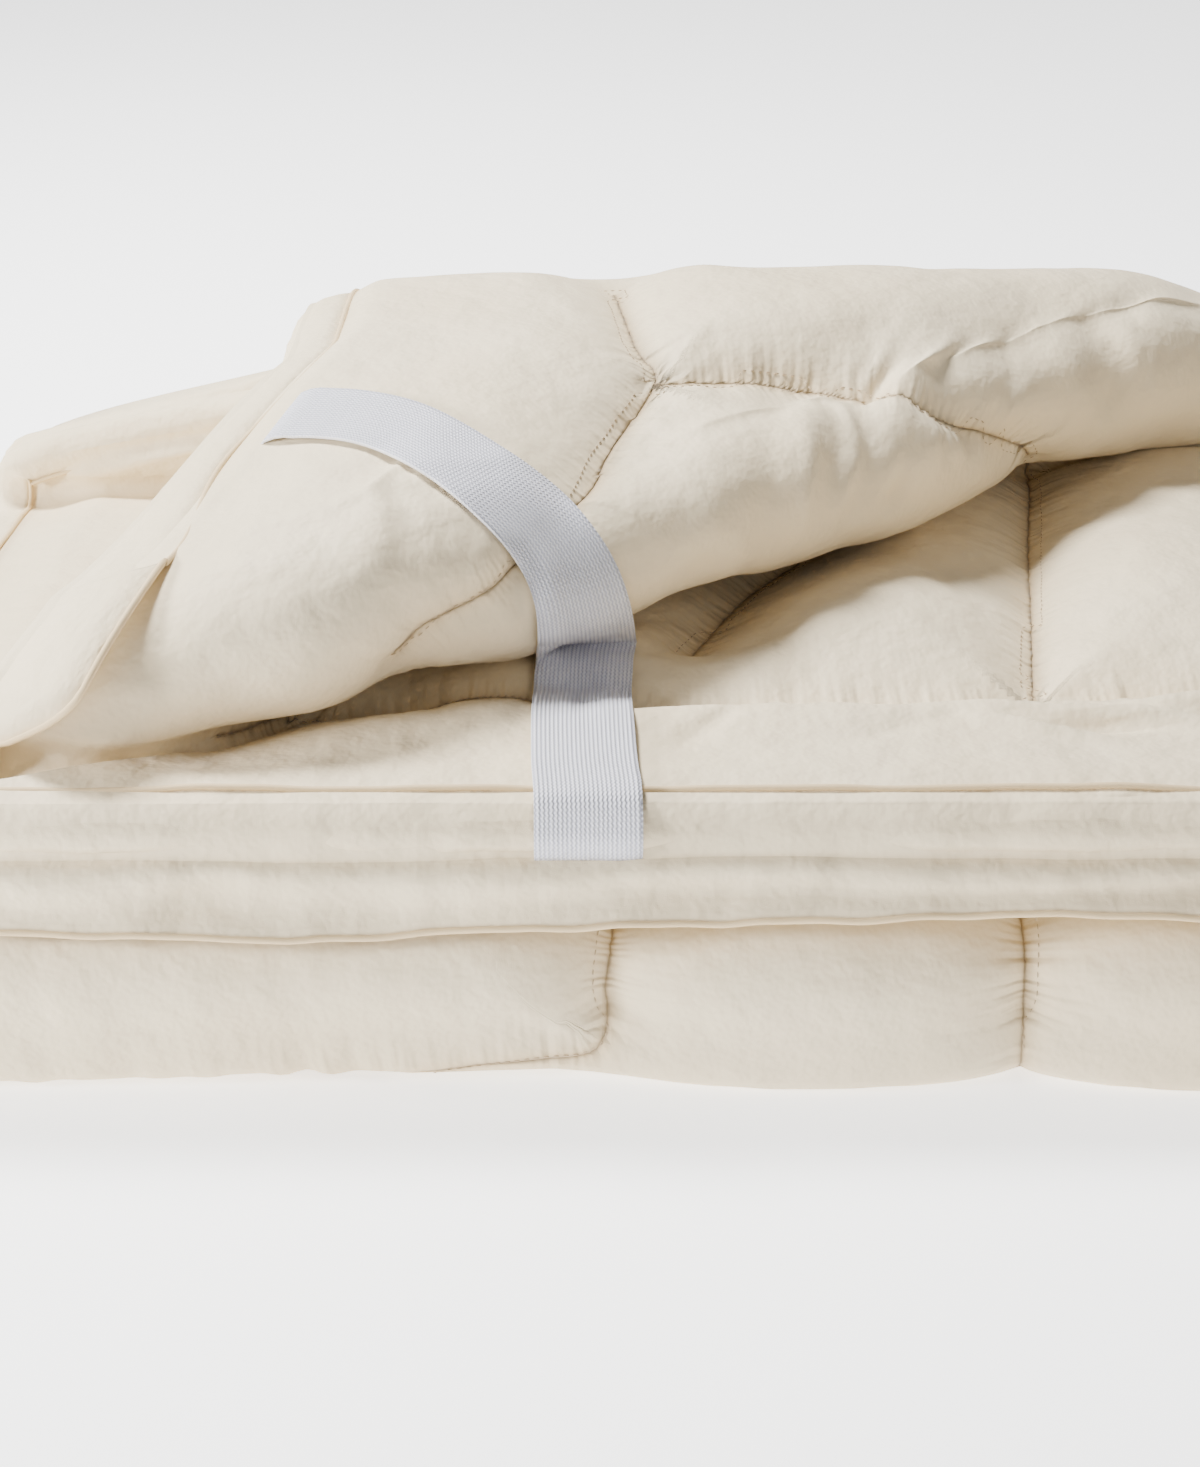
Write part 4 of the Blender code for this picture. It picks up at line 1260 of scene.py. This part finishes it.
def build_stitches(name, lines, material):
    """A row of stitches on each line, made by Geometry Nodes and kept as a plain mesh."""
    stitch_mesh = bpy.data.meshes.new(name + "_one")
    work = bmesh.new()
    bmesh.ops.create_icosphere(work, subdivisions=1, radius=0.5)
    for vertex in work.verts:
        vertex.co *= Vector((STITCH_WIDE, STITCH_WIDE, STITCH_LONG))
    work.to_mesh(stitch_mesh)
    work.free()
    stitch = bpy.data.objects.new(name + "_one", stitch_mesh)
    points, edges = [], []
    for line in lines:
        first = len(points)
        points += [tuple(point) for point in line]
        edges += [(first + k, first + k + 1) for k in range(len(line) - 1)]
    mesh = bpy.data.meshes.new(name + "_lines")
    mesh.from_pydata(points, edges, [])
    guide = bpy.data.objects.new(name + "_lines", mesh)
    bpy.context.scene.collection.objects.link(guide)
    tree = stitch_tree(material, stitch)
    modifier = guide.modifiers.new("stitches", "NODES")
    modifier.node_group = tree
    for label, value in (("Pitch", STITCH_PITCH), ("Seed", STITCH_SEED), ("Wobble", STITCH_WOBBLE)):
        modifier[socket_named(tree, label)] = value
    graph = bpy.context.evaluated_depsgraph_get()
    made = bpy.data.meshes.new_from_object(guide.evaluated_get(graph))
    guide.modifiers.clear()
    bpy.data.objects.remove(guide)
    bpy.data.objects.remove(stitch)
    made.name = name
    made.shade_smooth()
    thing = bpy.data.objects.new(name, made)
    bpy.context.scene.collection.objects.link(thing)
    return thing


def raised(line, tree, lift):
    """A line moved onto a finished surface, a little proud of it."""
    result = []
    for point in line:
        spot, normal = tree.find_nearest(Vector(point))[:2]
        result.append(np.array(spot) + np.array(normal) * lift)
    return eased(np.array(result), 2)


CAMERA_PLACE = (-0.1614, -1.0604, 0.592)
CAMERA_TILT = 62.0
CAMERA_LENS = 55.8
SENSOR = 36.0
FLOOR_HALF = 6.0
FLOOR_Z = -0.0005
FLOOR_SHADE = 0.93
FLOOR_GLOW = 1.7
WORLD_GLOW = 0.22
LIGHT_TARGET = (-0.1, 0.0, 0.1)
# Lights: name, place, size across and power.
LIGHTS = (
    ("top", (-0.9, 0.7, 1.9), 0.50, 112.0),
    ("key", (-1.9, -0.8, 0.7), 0.40, 62.0),
    ("fill", (1.2, -2.0, 1.2), 1.60, 9.0),
)


def build_stage():
    """A pale floor, soft lights and the camera."""
    collection = bpy.context.scene.collection
    mesh = bpy.data.meshes.new("floor")
    corners = [(x * FLOOR_HALF, y * FLOOR_HALF, FLOOR_Z) for x, y in ((-1, -1), (1, -1), (1, 1), (-1, 1))]
    mesh.from_pydata(corners, [], [(0, 1, 2, 3)])
    paper = plain_material("floor_paper", (FLOOR_SHADE,) * 3, 0.9)
    shader = paper.node_tree.nodes["Principled BSDF"]
    shader.inputs["Emission Color"].default_value = (1.0, 1.0, 1.0, 1.0)
    shader.inputs["Emission Strength"].default_value = FLOOR_GLOW
    mesh.materials.append(paper)
    floor = bpy.data.objects.new("floor", mesh)
    collection.objects.link(floor)
    world = bpy.data.worlds.new("studio")
    world.use_nodes = True
    sky = world.node_tree.nodes["Background"]
    sky.inputs["Color"].default_value = (1.0, 1.0, 1.0, 1.0)
    sky.inputs["Strength"].default_value = WORLD_GLOW
    bpy.context.scene.world = world
    for name, place, size, power in LIGHTS:
        light = bpy.data.lights.new(name, "AREA")
        light.size = size
        light.energy = power
        thing = bpy.data.objects.new(name, light)
        thing.location = place
        thing.rotation_euler = (Vector(LIGHT_TARGET) - Vector(place)).to_track_quat("-Z", "Y").to_euler()
        collection.objects.link(thing)
    camera = bpy.data.cameras.new("camera")
    camera.lens = CAMERA_LENS
    camera.sensor_width = SENSOR
    camera.clip_start = 0.01
    seat = bpy.data.objects.new("camera", camera)
    seat.location = CAMERA_PLACE
    seat.rotation_euler = (math.radians(CAMERA_TILT), 0.0, 0.0)
    collection.objects.link(seat)
    bpy.context.scene.camera = seat
    return floor


CORD_COLOR = (0.72, 0.55, 0.32, 1.0)
THREAD_COLOR = (0.50, 0.38, 0.24)
UPPER_CORD_RADIUS, LOWER_CORD_RADIUS = 0.0015, 0.0014


def main():
    """Builds every piece, puts each under the root body, hides the model's parts that they replace, and
    sets the stage.
    """
    weave = cloth_group()
    cloth = cloth_material("cream_cotton", weave, 0.62, 0.12, {})
    border_cloth = cloth_material("border_cotton", weave, 0.70, 0.08, {"Weave": 0.45, "Rumple": 1.20})
    cord_cloth = cloth_material("cord_cotton", weave, 0.65, 0.05, {"Cloth": CORD_COLOR, "Rumple": 0.0})
    elastic = cloth_material("white_elastic", strap_group(), 0.55, 0.10, {})
    thread = plain_material("sewing_thread", THREAD_COLOR, 0.7)

    topper = Topper()
    upper_base, lower_base = topper.skin(1), topper.skin(-1)
    upper_tree, lower_tree = grid_tree(upper_base), grid_tree(lower_base)
    upper_lines = [laid(route, upper_tree) for route in UPPER_SEAMS.values()]
    upper_lines += [laid(column_line(topper, upper_base, *row)[::6], upper_tree) for row in BACK_LINES]
    lower_lines = [laid(route, lower_tree) for route in LOWER_SEAMS.values()]
    lower_lines += [laid(column_line(topper, lower_base, *row)[::4], lower_tree) for row in LOWER_LINES]
    pad = build_pad(topper, cloth, upper_lines, lower_lines)
    edge = Border(topper)
    border = build_border(edge, border_cloth)
    upper_cord = build_cord("upper_cord", edge, 0, UPPER_CORD_RADIUS, cord_cloth)
    lower_cord = build_cord("lower_cord", edge, -1, LOWER_CORD_RADIUS, cord_cloth)
    strap, strap_length = build_strap((pad, border, upper_cord), elastic)
    pad_tree = skin_tree((pad,))
    seam_lines = [raised(line, pad_tree, STITCH_LIFT) for line in upper_lines + lower_lines]
    stitches = build_stitches("quilting_stitches", seam_lines, thread)

    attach(pad, "root")
    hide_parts("quilted_pad")
    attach(border, "root")
    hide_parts("boxing_band")
    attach(upper_cord, "root")
    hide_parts("piping_upper")
    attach(lower_cord, "root")
    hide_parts("piping_lower")
    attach(strap, "root")
    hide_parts("corner_strap")
    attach(stitches, "root")
    build_stage()


main()
